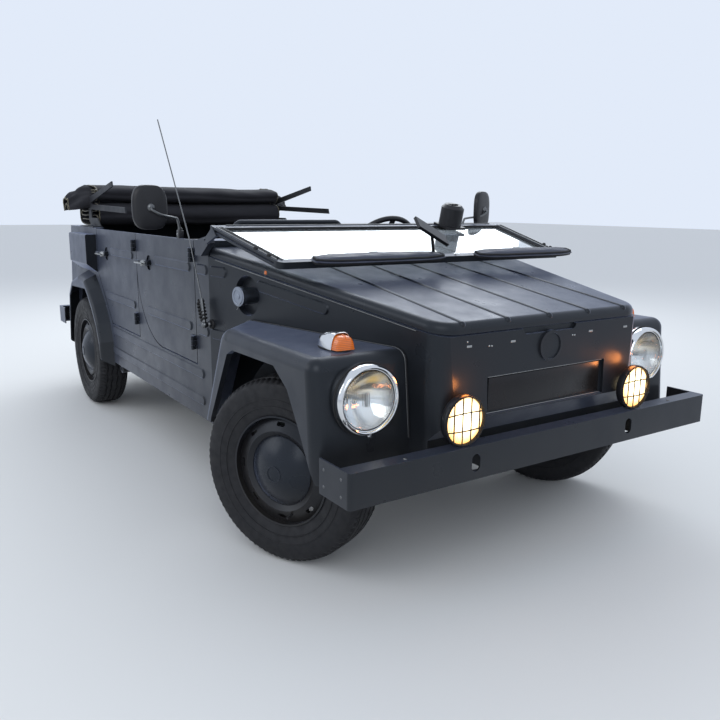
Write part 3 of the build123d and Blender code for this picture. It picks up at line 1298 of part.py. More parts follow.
def make_rear_seat():
    """The rear bench's pad and back, on the seat shelf."""
    low, depth, radius = SEAT_SHELF_Z + SEAT_LIFT, REAR_SEAT_DEPTH, SEAT_BACK_THICKNESS / 4
    x_front = HEEL_X + REAR_SEAT_AHEAD
    cushion = block(x_front - depth, x_front, -REAR_SEAT_HALF, REAR_SEAT_HALF, low, low + CUSHION_THICKNESS)
    back_half = SEAT_BACK_THICKNESS / 2
    back = block(-back_half, back_half, -REAR_SEAT_HALF, REAR_SEAT_HALF, 0, SEAT_BACK_HEIGHT)
    back = Rot(0, -SEAT_LEAN / 2, 0) * fillet(back.edges(), radius)
    back = Pos(x_front - depth + back_half, 0, low + CUSHION_THICKNESS / 2) * back
    return fillet(cushion.edges(), radius) + back


def make_levers():
    """The gear lever and the hand brake on the tunnel."""
    tunnel_top = FLOOR_Z + FLOOR_SHEET + TUNNEL_HEIGHT
    gear_x = BODY_FRONT_X - DASH_DEPTH
    foot_radius, lever_radius, knob_radius, reach = 34, 6, 20, 250
    seat_z = tunnel_top + foot_radius / 2
    knob = (gear_x - reach / 4, 0, tunnel_top + reach)
    lever = post(gear_x, 0, tunnel_top, seat_z, foot_radius)
    lever += rod((gear_x, 0, seat_z - lever_radius), knob, lever_radius) + Pos(*knob) * Sphere(knob_radius)
    brake_x = gear_x - reach
    lever += post(brake_x, 0, tunnel_top, seat_z + foot_radius / 2, foot_radius / 2)
    lever += rod((brake_x, 0, seat_z), (brake_x - reach, 0, seat_z + foot_radius), lever_radius * 3 / 2)
    return lever


def steering_centre():
    """The steering wheel's centre."""
    return BODY_FRONT_X - STEERING_SETBACK, STEERING_Y, STEERING_Z


def steering_shaft(radius):
    """The sloping column from under the steering wheel to the foot room."""
    cx, cy, cz = steering_centre()
    run, fall = cos(radians(STEERING_TILT)), sin(radians(STEERING_TILT))
    start = 30
    upper = (cx + start * run, cy, cz - start * fall)
    lower = (cx + COLUMN_LENGTH * run, cy, cz - COLUMN_LENGTH * fall)
    return rod(upper, lower, radius)


def make_steering_wheel():
    """A three-spoke steering wheel with its hub."""
    axis = (-cos(radians(STEERING_TILT)), 0, sin(radians(STEERING_TILT)))
    ring_radius = STEERING_RADIUS - STEERING_RIM
    hub_radius, hub_height, spoke_width, spoke_sheet = 34, 36, 26, 8
    wheel = Torus(ring_radius, STEERING_RIM) + Pos(0, 0, -hub_height / 4) * Cylinder(hub_radius, hub_height)
    for turn in (0, 180, 270):
        spoke = Pos(ring_radius / 2, 0, -spoke_sheet) * Box(ring_radius, spoke_width, spoke_sheet)
        wheel += Rot(0, 0, turn) * spoke
    return Plane(origin=steering_centre(), x_dir=(0, 1, 0), z_dir=axis) * wheel


# The outside mirrors: reach outward, height of the head's middle, and the head's and stem's sizes
MIRROR_REACH = 118
MIRROR_Z = 1172
MIRROR_WIDTH = 148
MIRROR_HEIGHT = 183
MIRROR_DEPTH = 24
MIRROR_STEM_RADIUS = 6
MIRROR_BEND = 20
MIRROR_CLAMP = 28

# Each mirror: its side, how far ahead of the front door's edge, its turn and how far its clamp reaches down
MIRRORS = {"right": (-1, -172, 0, SHUT_GAP / 2), "left": (1, 82, 22, 0)}


def make_mirror(word):
    """An outside mirror: its clamp on the body's top edge, a bent stem and a rounded head."""
    side, ahead, turn, drop = MIRRORS[word]
    x, y = DOOR_FRONT_X + ahead, -BODY_HALF
    top = BELT_Z + SHEET
    base = block(x - MIRROR_CLAMP, x + MIRROR_CLAMP, y + 4, y + 24, BELT_Z - drop, top)
    lean = 10
    stem = bent_rod((
        (x - lean, y + MIRROR_CLAMP / 2, top - 1), (x, y - MIRROR_STEM_RADIUS, (BELT_Z + MIRROR_Z) / 2),
        (x + lean, y - MIRROR_REACH * 3 / 4, MIRROR_Z),
    ), MIRROR_BEND, MIRROR_STEM_RADIUS)
    head = Box(MIRROR_DEPTH, MIRROR_WIDTH, MIRROR_HEIGHT)
    head = fillet(head.edges().filter_by(Axis.X), MIRROR_WIDTH / 4)
    head = fillet(head.faces().sort_by(Axis.X)[-1].edges(), MIRROR_DEPTH / 3)
    head = Rot(0, 0, -turn) * head
    head_y = y - MIRROR_REACH - (MIRROR_WIDTH - head.bounding_box().size.Y) / 2
    return one_side(base + stem + Pos(x + lean, head_y, MIRROR_Z) * head, side)


# The whip aerial on the right side: distance ahead of the body's front, height, and reach
ANTENNA_AHEAD = 14
ANTENNA_Z = 725
ANTENNA_OUT = 35
ANTENNA_TIP = (-423, 1530)
ANTENNA_BEND = (-105, 1045)
WHIP_RADIUS = 2.5
WHIP_CURVE = 300


def make_antenna():
    """The whip aerial: two balls on a bolt, a coil spring's core and a bent whip."""
    plane = nose_plane(BODY_FRONT_X + ANTENNA_AHEAD, ANTENNA_Z)
    ball, bolt, core, spring_height, lean = 13, 9, 8, 100, 22
    base = extrude(plane * Circle(bolt), ANTENNA_OUT)
    for out in (ball, ANTENNA_OUT):
        base += plane.offset(out) * Sphere(ball)
    x, y, z = plane.offset(ANTENNA_OUT).origin
    spring_top = (x - lean, y, z + spring_height)
    spring = rod((x, y, z), spring_top, core)
    bend = (BODY_FRONT_X + ANTENNA_BEND[0], y, ANTENNA_BEND[1])
    tip = (BODY_FRONT_X + ANTENNA_TIP[0], y, ANTENNA_TIP[1])
    whip = bent_rod(((x - lean, y, z + spring_height - 2), bend, tip), WHIP_CURVE, WHIP_RADIUS)
    return base + spring + whip


def make_filler():
    """The fuel filler's neck and cap, standing in their cup."""
    plane = nose_plane(BODY_FRONT_X + FILLER_AHEAD, FILLER_Z).offset(-FILLER_CUP_DEPTH)
    cap_depth, neck = 16, FILLER_RADIUS - 5
    return extrude(plane * Circle(neck), FILLER_LENGTH - cap_depth) + extrude(
        plane.offset(FILLER_LENGTH - cap_depth) * Circle(FILLER_RADIUS), cap_depth)


# The folded canvas: its two rolls' outlines ahead of the rear panel's top, with heights
UPPER_ROLL = ((-60, 1208), (-95, 1250), (40, 1292), (250, 1292), (370, 1262), (380, 1212))
LOWER_ROLL = ((-20, 1062), (-60, 1120), (-20, 1186), (330, 1186), (400, 1130), (370, 1075))
ROLL_BEND = 22
FLAP_OUT = 137
FLAP_CLEARANCE = 3
FLAP_HEIGHTS = (1150, 1180, 1198, 1300)
FLAP_AHEAD = (45, 315)


def make_soft_top():
    """The folded canvas: an upper and a lower roll across the back, and a flap at each end."""
    top = Part()
    for points in (UPPER_ROLL, LOWER_ROLL):
        bends = tuple((number, ROLL_BEND) for number in range(len(points)))
        top += across(outline(placed(points, REAR_TOP_X), bends), -TOP_HALF, TOP_HALF)
    inner, tip = -TOP_BAR_Y - TOP_BAR_SHEET - FLAP_CLEARANCE, -TOP_HALF - FLAP_OUT
    root_low, tip_low, tip_high, root_high = FLAP_HEIGHTS
    face = outline(((inner, root_low), (tip, tip_low), (tip, tip_high), (inner, root_high)))
    start, end = FLAP_AHEAD
    return top + both_sides(forward(face, REAR_TOP_X + start, REAR_TOP_X + end))


# The folded top's irons, ahead of the rear panel's top, with heights: bars, bracket, stand and tube
TOP_BARS = (
    ((260, 1180), (250, 1214), (780, 1304), (786, 1276)),
    ((270, 1150), (262, 1180), (1000, 1166), (1010, 1136)),
)
TOP_BRACKET = ((260, 1078), (320, 1078), (320, 1226), (260, 1226))
TOP_STAND = ((300, 1048), (500, 1048), (440, 1100), (250, 1100))
TOP_FOOT = (280, 520)
TOP_TUBE = (290, 1197)


def make_top_bows():
    """The folded top's irons: side bars on brackets, joined by a tube between the rolls."""
    inner, outer = -TOP_BAR_Y, -TOP_BAR_Y - TOP_BAR_SHEET
    start, end = TOP_FOOT
    irons = block(REAR_TOP_X + start, REAR_TOP_X + end, -BODY_HALF + 4, inner, BELT_Z, BELT_Z + SHEET)
    for points in (*TOP_BARS, TOP_BRACKET, TOP_STAND):
        irons += across(outline(placed(points, REAR_TOP_X)), outer, inner)
    tube_ahead, tube_z = TOP_TUBE
    tube = cross_rod(REAR_TOP_X + tube_ahead, tube_z, outer, -outer, TOP_TUBE_RADIUS)
    return both_sides(irons) + tube


# The air intake boxes: front and rear ends from the rear door's edge, reach, and heights
INTAKE_GAP = 20
INTAKE_LENGTH = 390
INTAKE_REACH = 60
INTAKE_HEIGHTS = (797, 845, 1012)
INTAKE_SLATS = 7


def make_intakes():
    """The tapered air intake boxes behind the rear doors, open at the back in slots."""
    low, knee, high = INTAKE_HEIGHTS
    out = -BODY_HALF - INTAKE_REACH
    edge = 10
    front_x = DOOR_REAR_X - INTAKE_GAP
    rear_end = front_x - INTAKE_LENGTH
    points = ((-BODY_HALF, low), (-BODY_HALF, high), (out, high), (out, knee))
    box = forward(outline(points, ((2, edge), (3, edge))), rear_end, front_x)
    pitch = (high - knee) / (INTAKE_SLATS + 1)
    for number in range(INTAKE_SLATS):
        z = knee + pitch * (number + 1 / 2)
        box -= block(rear_end - 1, rear_end + WALL, out + SHEET, -BODY_HALF - SHEET, z, z + pitch / 2)
    return both_sides(box)


def build_nodes():
    """Every piece of the car by its node's name."""
    tyre, rim = tyre_shape(), rim_shape()
    side = make_side()
    nodes = {
        "floor_pan": make_floor(), "rear_tub": make_rear_tub(), "rear_panel": make_rear_panel(),
        "engine_lid": make_engine_lid(), "nose": make_nose(), "bonnet": make_bonnet(), "cowl": make_cowl(),
        "front_fenders": make_front_fenders(), "rear_fenders": make_rear_fenders(),
        "front_bumper": make_front_bumper(), "rear_bumper": make_rear_bumper(),
        "headlamps": make_headlamps(), "fog_lamps": make_fog_lamps(), "signal_lamps": make_signals(),
        "windshield_frame": make_shield_frame(), "windshield_glass": make_glass(),
        "windshield_fittings": make_shield_fittings(), "windshield_brackets": make_shield_brackets(),
        "sun_visors": make_visors(),
        "front_axle": make_front_axle(), "rear_axle": make_rear_axle(), "engine_block": make_engine(),
        "front_seats": make_front_seats(), "seat_frames": make_seat_frames(), "rear_seat": make_rear_seat(),
        "steering_column": steering_shaft(COLUMN_RADIUS), "steering_wheel": make_steering_wheel(),
        "floor_levers": make_levers(), "antenna": make_antenna(), "fuel_filler": make_filler(),
        "soft_top": make_soft_top(), "top_bows": make_top_bows(), "intake_boxes": make_intakes(),
    }
    for word, sign in (("right", -1), ("left", 1)):
        nodes[f"side_{word}"] = one_side(side, sign)
        nodes[f"front_door_{word}"] = one_side(make_door("front"), sign)
        nodes[f"rear_door_{word}"] = one_side(make_door("rear"), sign)
        nodes[f"mirror_{word}"] = make_mirror(word)
        nodes[f"knuckle_{word}"] = make_knuckle(sign)
        for label, shape in (("tyre", tyre), ("rim", rim)):
            front = wheel_at(shape, FRONT_AXLE_X, FRONT_TRACK / 2, sign)
            nodes[f"{label}_front_{word}"] = steered(front, sign)
            nodes[f"{label}_rear_{word}"] = wheel_at(shape, REAR_AXLE_X, REAR_TRACK / 2, sign)
    return nodes


os.makedirs("parts", exist_ok=True)
for node, shape in build_nodes().items():
    shape.label = node
    export_step(shape, f"parts/{node}.step")
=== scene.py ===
"""Dress an open field car: finishes, tyres, lamps, soft parts and small fittings round its fixed frame.

Metres. +X points forward, +Y to the car's left and +Z up, with the origin on the ground.
"""
import json
from math import copysign, cos, exp, pi, radians, sin, sqrt

import bmesh
import bpy
from bpy.props import FloatProperty, FloatVectorProperty, IntProperty, PointerProperty
from mathutils import Matrix, Vector, noise


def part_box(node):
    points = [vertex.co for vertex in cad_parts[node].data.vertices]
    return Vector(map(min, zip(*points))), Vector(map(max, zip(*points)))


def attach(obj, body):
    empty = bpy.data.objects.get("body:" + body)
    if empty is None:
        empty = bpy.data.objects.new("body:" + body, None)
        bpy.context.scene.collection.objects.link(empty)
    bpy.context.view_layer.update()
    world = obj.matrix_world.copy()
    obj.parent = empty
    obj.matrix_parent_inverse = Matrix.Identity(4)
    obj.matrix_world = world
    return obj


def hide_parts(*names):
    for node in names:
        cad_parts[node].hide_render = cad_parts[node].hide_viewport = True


bl_info = {
    "name": "Field Car Dresser",
    "version": (1, 0, 0),
    "blender": (4, 5, 0),
    "location": "3D View > Sidebar > Field Car",
    "description": "Adds the finishes, soft parts and small fittings of an open field car",
    "category": "Object",
}

# The fixed frame
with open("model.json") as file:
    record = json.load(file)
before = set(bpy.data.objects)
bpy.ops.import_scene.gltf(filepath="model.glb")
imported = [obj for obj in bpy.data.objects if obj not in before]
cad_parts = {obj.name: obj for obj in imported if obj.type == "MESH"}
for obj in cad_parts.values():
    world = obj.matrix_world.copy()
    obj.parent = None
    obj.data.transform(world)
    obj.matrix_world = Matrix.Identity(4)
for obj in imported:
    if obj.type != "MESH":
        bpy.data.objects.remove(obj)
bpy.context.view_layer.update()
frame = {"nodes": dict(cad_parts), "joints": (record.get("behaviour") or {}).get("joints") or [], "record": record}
JOINTS = {joint["name"]: joint for joint in frame["joints"]}

# Directions, and the sign of Y on each side of the car
FORWARD = Vector((1, 0, 0))
LEFT = Vector((0, 1, 0))
UP = Vector((0, 0, 1))
DOWN = -UP
SIDES = {"right": -1, "left": 1}

# The lamps: each centre lies a radius inside the outer top corner of its node
HEADLAMP_RADIUS = 0.106
HEADLAMP_RIM_DEPTH = 0.014
FOG_LAMP_RADIUS = 0.077
FOG_LAMP_RIM_DEPTH = 0.010


def lamp_centre(node, radius, depth):
    """The centre of the left one of a pair of lamps, some depth behind its foremost point."""
    corner = Vector(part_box(node)[1])
    return corner - Vector((depth, radius, radius))


HEADLAMP = lamp_centre("headlamps", HEADLAMP_RADIUS, HEADLAMP_RIM_DEPTH)
FOG_LAMP = lamp_centre("fog_lamps", FOG_LAMP_RADIUS, FOG_LAMP_RIM_DEPTH)

# The tyres
TYRE_RADIUS = JOINTS["roll_rear_right"]["pos_m"][2]
TREAD_HALF = 0.0485
TREAD_GROOVES = (-0.042, -0.015, 0.015, 0.042)
GROOVE_HALF = 0.0042
TREAD_CROWN = 0.0012
ZIGZAG = 0.0022
RIB_DEPTH = 0.0045

# The folded windshield: the rear end of its upper face, and the slope of that face
WINDSHIELD_DIP = radians(13.821)
WINDSHIELD_ORIGIN = Vector((0.822, 0, 1.111))
WINDSHIELD_SLOPE = Vector((cos(WINDSHIELD_DIP), 0, -sin(WINDSHIELD_DIP)))
WINDSHIELD_NORMAL = Vector((sin(WINDSHIELD_DIP), 0, cos(WINDSHIELD_DIP)))

# The nose's upper edge runs straight from rear to front: place along the car, half width and height
NOSE_REAR = Vector((0.700, 0.6742, 0.986))
NOSE_FRONT = Vector((1.828, 0.447, 0.820))

# Meshes
SMOOTH_ANGLE = radians(32)
SOFT_ANGLE = radians(50)
CLOTH_ANGLE = radians(70)
MERGE = 1e-6

# The finishes of each of the record's material slots, first the one for the frame's own nodes
SLOT_FINISHES = {
    "body_paint": ("body paint", "plate"),
    "underbody": ("underbody",),
    "chassis_paint": ("chassis paint",),
    "wheel_paint": ("wheel paint", "hub cap paint"),
    "cast_metal": ("cast metal",),
    "tyre": ("tyre rubber",),
    "canvas": ("canvas", "binding"),
    "seat_vinyl": ("vinyl", "visor cloth"),
    "black_plastic": ("grained plastic", "soft rubber", "dial face"),
    "bright_metal": ("bare steel", "chrome", "dark steel", "lamp reflector", "mirror"),
    "silver_cap": ("silver cap", "pale print", "handle metal"),
    "window_glass": ("window glass",),
    "lamp_glass": ("lamp glass",),
    "fog_light": ("lit glass",),
    "amber_lens": ("amber lens", "red lens"),
}


def colour_setting(name, description, default):
    """A colour that the panel shows."""
    return FloatVectorProperty(name=name, description=description, subtype="COLOR", default=default)


def size_setting(name, description, default):
    """A size in metres that the panel shows."""
    return FloatProperty(name=name, description=description, unit="LENGTH", default=default)


class StageSizes(bpy.types.PropertyGroup):
    """Where the camera stands and how bright the studio is."""

    eye: FloatVectorProperty(name="Camera place", description="Where the camera stands", subtype="XYZ",
                             unit="LENGTH", default=(3.41611, -1.78549, 1.18750))
    heading: FloatProperty(name="Heading", description="Turn of the view from straight back towards the left",
                           subtype="ANGLE", default=radians(33.7257))
    pitch: FloatProperty(name="Pitch", description="Tilt of the view above the horizon", subtype="ANGLE",
                         default=radians(-11.8163))
    roll: FloatProperty(name="Roll", description="Turn of the view about its own line", subtype="ANGLE",
                        default=radians(0.5592))
    focal_length: FloatProperty(name="Focal length", description="Lens in millimetres on a 36 mm wide frame",
                                default=36.918, min=10)
    floor_colour: colour_setting("Floor colour", "Colour of the studio floor", (0.70, 0.70, 0.68))
    sky_colour: colour_setting("Sky colour", "Colour of the light from all round", (0.80, 0.87, 1.0))
    backdrop_colour: colour_setting("Backdrop colour", "Colour seen behind the car", (0.76, 0.83, 0.95))
    sky_strength: FloatProperty(name="Sky strength", description="Strength of the light from all round",
                                default=0.95, min=0)
    glow_power: FloatProperty(name="Fog lamp glow", description="Power of the warm light round the fog lamps",
                              unit="POWER", default=0.34, min=0)
    lamp_power: FloatProperty(name="Lamp power", description="Power that the soft lamps share out",
                              unit="POWER", default=120.0, min=0)


class CarColours(bpy.types.PropertyGroup):
    """The colours of the car's finishes."""

    paint: colour_setting("Body paint", "Matte dark paint of the body", (0.0100, 0.0113, 0.0134))
    wheel: colour_setting("Wheel paint", "Satin paint of the wheels", (0.0045, 0.0050, 0.0070))
    canvas: colour_setting("Canvas", "Coated canvas of the folded top", (0.012, 0.010, 0.018))
    vinyl: colour_setting("Vinyl", "Grained cover of the seats", (0.014, 0.014, 0.016))
    rubber: colour_setting("Rubber", "Rubber of the tyres and seals", (0.0085, 0.0090, 0.0115))
    amber: colour_setting("Amber", "Amber of the turn lamps", (0.90, 0.20, 0.015))
    red: colour_setting("Red", "Red of the tail lamps", (0.50, 0.010, 0.008))
    glow: colour_setting("Lamp glow", "Light of the fog lamps", (1.0, 0.52, 0.13))
    dust: colour_setting("Dust", "Dry dust low on the car", (0.14, 0.12, 0.09))
    binding: colour_setting("Binding", "Edging tape of the canvas", (0.060, 0.052, 0.030))


class CarSizes(bpy.types.PropertyGroup):
    """The sizes and counts of the pieces that dress the frame."""

    tread_pitches: IntProperty(name="Tread pitches", description="Shoulder blocks round a tyre",
                               default=84, min=12)
    groove_depth: size_setting("Groove depth", "Depth of the tread's grooves", 0.006)
    seat_channels: IntProperty(name="Seat channels", description="Sewn channels across a front seat",
                               default=6, min=1)
    seat_crown: size_setting("Seat crown", "How far a cushion's middle stands up", 0.016)
    canvas_layers: IntProperty(name="Canvas layers", description="Folded layers in each roll of the top",
                               default=4, min=2)
    canvas_sheet: size_setting("Canvas thickness", "Thickness of the top's lined canvas", 0.004)
    guard_wire: size_setting("Guard wire", "Radius of the fog lamps' guard bars", 0.0021)
    glow_strength: FloatProperty(name="Glow strength", description="Strength of the lit fog lamps",
                                 default=4.6, min=0)
    seal_radius: size_setting("Seal radius", "Radius of the rubber edge seals", 0.0045)


# A colour Mix node's sockets, which share their names with those of its other data types
MIX_SHARE, MIX_FIRST, MIX_SECOND = 0, 6, 7
MIX_RESULT = 2


class Finish:
    """A material built node by node, its patterns measured in the object's own metres."""

    def __init__(self, name, colour, roughness=0.5, metallic=0.0):
        self.material = bpy.data.materials.new(name)
        self.material.use_nodes = True
        self.tree = self.material.node_tree
        self.shader = self.tree.nodes["Principled BSDF"]
        self.colour = (*colour, 1)
        self.place = self.node("ShaderNodeTexCoord").outputs["Object"]
        self.normal = None
        self.set(Base_Color=self.colour, Roughness=roughness, Metallic=metallic)

    def node(self, kind, inputs=(), **settings):
        """A node with its settings, and its inputs given as numbers or as other nodes' outputs."""
        made = self.tree.nodes.new(kind)
        for key, value in settings.items():
            setattr(made, key, value)
        for key, value in dict(inputs).items():
            if isinstance(value, bpy.types.NodeSocket):
                self.tree.links.new(value, made.inputs[key])
            else:
                made.inputs[key].default_value = value
        return made

    def set(self, **values):
        """Set the shader's own sockets."""
        for key, value in values.items():
            self.shader.inputs[key.replace("_", " ")].default_value = value
        return self

    def feed(self, socket, source):
        """Drive one of the shader's sockets from a node's output."""
        self.tree.links.new(source, self.shader.inputs[socket])
        return self

    def stretched(self, stretch):
        """The object's own place, stretched along its axes."""
        inputs = {"Vector": self.place, "Scale": stretch}
        return self.node("ShaderNodeMapping", inputs).outputs[0]

    def noise(self, scale, detail=3.0, stretch=(1, 1, 1)):
        """Soft random patches; scale is about how many there are in a metre."""
        inputs = {"Vector": self.stretched(stretch), "Scale": scale, "Detail": detail}
        return self.node("ShaderNodeTexNoise", inputs).outputs["Fac"]

    def cells(self, scale):
        """Rounded grains; scale is about how many there are in a metre."""
        return self.node("ShaderNodeTexVoronoi", {"Vector": self.place, "Scale": scale}).outputs["Distance"]

    def bands(self, scale, direction, bend=0.0):
        """Straight soft bands along one axis."""
        inputs = {"Vector": self.place, "Scale": scale, "Distortion": bend, "Detail": 1.0}
        return self.node("ShaderNodeTexWave", inputs, bands_direction=direction).outputs["Fac"]

    def spread(self, source, low, high, from_low=0.0, from_high=1.0):
        """A source spread between two values."""
        inputs = {"Value": source, "From Min": from_low, "From Max": from_high, "To Min": low, "To Max": high}
        return self.node("ShaderNodeMapRange", inputs).outputs["Result"]

    def part(self, source, axis):
        """One part of a vector: X, Y or Z."""
        return self.node("ShaderNodeSeparateXYZ", {0: source}).outputs[axis]

    def maths(self, operation, first, second=0.0):
        """Two values joined by an operation."""
        return self.node("ShaderNodeMath", {0: first, 1: second}, operation=operation).outputs[0]

    def mixed(self, share, first, second):
        """Two colours mixed by a share."""
        inputs = {MIX_SHARE: share, MIX_FIRST: first, MIX_SECOND: second}
        return self.node("ShaderNodeMix", inputs, data_type="RGBA").outputs[MIX_RESULT]

    def shade(self, factor):
        """The base colour made darker or lighter."""
        return (*(channel * factor for channel in self.colour[:3]), 1)

    def rough(self, scale, low, high, from_low, from_high, detail=3.0):
        """Roughness in soft patches, spread between two values."""
        return self.feed("Roughness", self.spread(self.noise(scale, detail), low, high, from_low, from_high))

    def bump(self, height, depth, strength=1.0):
        """Raise the surface by a height pattern; later bumps lie on earlier ones."""
        inputs = {"Height": height, "Distance": depth, "Strength": strength}
        if self.normal:
            inputs["Normal"] = self.normal
        self.normal = self.node("ShaderNodeBump", inputs).outputs["Normal"]
        return self.feed("Normal", self.normal)

    def height_share(self, low, high):
        """From 1 at a low height above the ground to 0 at a high one."""
        return self.spread(self.part(self.place, "Z"), 1.0, 0.0, low, high)

    def facing_up(self):
        """How far the surface faces up."""
        normal = self.node("ShaderNodeNewGeometry").outputs["Normal"]
        return self.spread(self.part(normal, "Z"), 0.0, 1.0, 0.3, 1.0)

    def edge_share(self, radius):
        """From 0 on a flat surface to 1 on a sharp edge."""
        rounded = self.node("ShaderNodeBevel", {"Radius": radius}, samples=4).outputs[0]
        plain = self.node("ShaderNodeNewGeometry").outputs["Normal"]
        compared = self.node("ShaderNodeVectorMath", {0: rounded, 1: plain}, operation="DOT_PRODUCT")
        return self.spread(compared.outputs["Value"], 1.0, 0.0, 0.75, 0.98)


def paint_finish(name, colour, dust, roughness, dust_top, wear_and_highlight, sheen=0.05):
    """Matte paint with a fine grain, faint waves, dry dust low down, and edges lightened partly by wear and partly
    as a painted highlight.
    """
    finish = Finish(name, colour, roughness)
    patches = finish.noise(3.0, 5.0)
    base = finish.mixed(patches, finish.shade(0.82), finish.shade(1.22))
    # Lighter edges: partly wear, partly a painted highlight along ridges and beads.
    scuffs_and_highlights = finish.spread(finish.noise(45), wear_and_highlight * 0.3, wear_and_highlight, 0.35, 0.7)
    rubbed_and_highlit = finish.maths("MULTIPLY", finish.edge_share(0.005), scuffs_and_highlights)
    base = finish.mixed(rubbed_and_highlit, base, finish.shade(4.5))
    splashes = finish.noise(9, 6.0, (1, 1, 0.4))
    settled = finish.maths("MULTIPLY", finish.height_share(0.2, dust_top), splashes)
    settled = finish.maths("MULTIPLY", settled, 0.22)
    specks = finish.spread(finish.noise(14, 6.0), 0.0, 0.025, 0.5, 0.8)
    lying = finish.maths("MULTIPLY", finish.facing_up(), specks)
    finish.feed("Base Color", finish.mixed(finish.maths("ADD", settled, lying), base, (*dust, 1)))
    finish.rough(11, roughness - 0.07, roughness + 0.09, 0.3, 0.7, 4.0)
    finish.set(Specular_IOR_Level=0.34, Specular_Tint=(0.82, 0.89, 1.0, 1), Sheen_Weight=sheen,
               Sheen_Roughness=0.30, Sheen_Tint=(0.58, 0.68, 1.0, 1))
    finish.bump(finish.noise(4.0, 2.0), 0.0012, 0.35)
    finish.bump(finish.noise(900, 2.0), 0.00008, 0.5)


def tyre_finish(name, colour, dust):
    """Tyre rubber, mottled, and greyer with faint dust in soft patches all over."""
    finish = Finish(name, colour, 0.62)
    grey = finish.mixed(finish.noise(22, 6.0), finish.shade(0.8), finish.shade(1.3))
    finish.set(Specular_IOR_Level=0.32)
    share = finish.maths("MULTIPLY", finish.noise(30, 5.0), 0.045)
    finish.feed("Base Color", finish.mixed(share, grey, (*dust, 1)))
    finish.rough(40, 0.50, 0.78, 0.3, 0.7)
    finish.bump(finish.noise(600, 3.0), 0.0002, 0.5)


def rubber_finish(name, colour):
    """Dull moulded rubber."""
    finish = Finish(name, colour, 0.75)
    finish.feed("Base Color", finish.mixed(finish.noise(35), finish.shade(0.7), finish.shade(1.6)))
    finish.bump(finish.noise(500, 2.0), 0.0002, 0.4)


def plastic_finish(name, colour):
    """Moulded plastic with a fine leather grain."""
    finish = Finish(name, colour, 0.42)
    finish.feed("Base Color", finish.mixed(finish.noise(18), finish.shade(0.8), finish.shade(1.5)))
    finish.set(Specular_IOR_Level=0.38)
    finish.rough(60, 0.26, 0.44, 0.0, 1.0)
    finish.bump(finish.cells(700), 0.00025, 0.45)


def canvas_finish(name, colour, rib):
    """Coated canvas: a fine weave of two bands, soft creases, a dull sheen, and upward faces painted lighter as
    painted light from above.
    """
    finish = Finish(name, colour, 0.66)
    faded = finish.mixed(finish.noise(7, 6.0), finish.shade(0.7), finish.shade(2.6))
    # Upward faces painted lighter: painted light from above.
    painted_top_light = finish.maths("MULTIPLY", finish.facing_up(), 0.18)
    finish.feed("Base Color", finish.mixed(painted_top_light, faded, finish.shade(3.4)))
    finish.set(Sheen_Weight=0.22, Sheen_Roughness=0.45)
    finish.rough(25, 0.50, 0.74, 0.0, 1.0)
    weave = finish.maths("ADD", finish.bands(rib, "Y", 0.4), finish.bands(rib, "DIAGONAL", 0.4))
    finish.bump(finish.noise(13, 5.0), 0.004, 0.55)
    finish.bump(weave, 0.0003, 0.5)


def vinyl_finish(name, colour, grain):
    """Grained seat cover, shinier in patches where use has polished it."""
    finish = Finish(name, colour, 0.45)
    finish.feed("Base Color", finish.mixed(finish.noise(12, 5.0), finish.shade(0.75), finish.shade(1.8)))
    finish.rough(9, 0.34, 0.58, 0.3, 0.7)
    finish.bump(finish.noise(24, 4.0), 0.0018, 0.4)
    finish.bump(finish.cells(grain), 0.0004, 0.6)


def metal_finish(name, colour, low, high, scratch):
    """Bright metal with smudges and fine scratches."""
    finish = Finish(name, colour, low, 1.0)
    finish.feed("Base Color", finish.mixed(finish.noise(20), finish.shade(0.82), finish.shade(1.0)))
    finish.rough(35, low, high, 0.3, 0.75, 5.0)
    finish.bump(finish.noise(120, 2.0, (1, 1, 14)), 0.0001, scratch)


def glass_finish(name, colour, roughness=0.0, flute=0, clear=1.0):
    """Glass; flute is how many moulded bands it has in a metre, or 0 for plain glass."""
    finish = Finish(name, colour, roughness)
    finish.set(Transmission_Weight=clear, IOR=1.5)
    if flute:
        finish.rough(50, roughness, roughness + 0.05, 0.4, 0.8)
        finish.bump(finish.bands(flute, "Y"), 0.0008, 0.35)
    return finish


def lens_finish(name, colour):
    """A moulded coloured lens with fine prisms inside, and a faint painted glow in its own colour."""
    finish = Finish(name, colour, 0.16)
    finish.feed("Base Color", finish.mixed(finish.bands(60, "Z"), finish.shade(0.55), finish.shade(1.0)))
    # The faint emission in the lens's own colour is a painted glow.
    finish.set(Transmission_Weight=0.25, IOR=1.49, Coat_Weight=0.6, Coat_Roughness=0.05,
               Emission_Color=(*colour, 1), Emission_Strength=0.12)
    finish.bump(finish.cells(260), 0.0008, 0.35)


def lit_finish(name, colour, strength, middle, reach):
    """A lit fluted lens: pale in its middle and deep yellow at its rim, on both sides of the car."""
    finish = Finish(name, colour, 0.2)
    away = finish.maths("ABSOLUTE", finish.part(finish.place, "Y"))
    height = finish.part(finish.place, "Z")
    seen = finish.node("ShaderNodeCombineXYZ", {"Y": away, "Z": height}).outputs[0]
    inputs = {0: seen, 1: (0, middle.y, middle.z + reach * 0.12)}
    far = finish.node("ShaderNodeVectorMath", inputs, operation="DISTANCE").outputs["Value"]
    flutes = finish.bands(55, "Y")
    share = finish.maths("ADD", finish.spread(far, 0.0, 0.85, reach * 0.35, reach),
                         finish.maths("MULTIPLY", flutes, 0.22))
    tint = finish.mixed(share, (1.0, 0.86, 0.55, 1), (*colour, 1))
    finish.feed("Base Color", tint)
    finish.feed("Emission Color", tint)
    finish.feed("Emission Strength", finish.spread(share, strength, strength * 0.28))
    finish.bump(flutes, 0.001, 0.6)


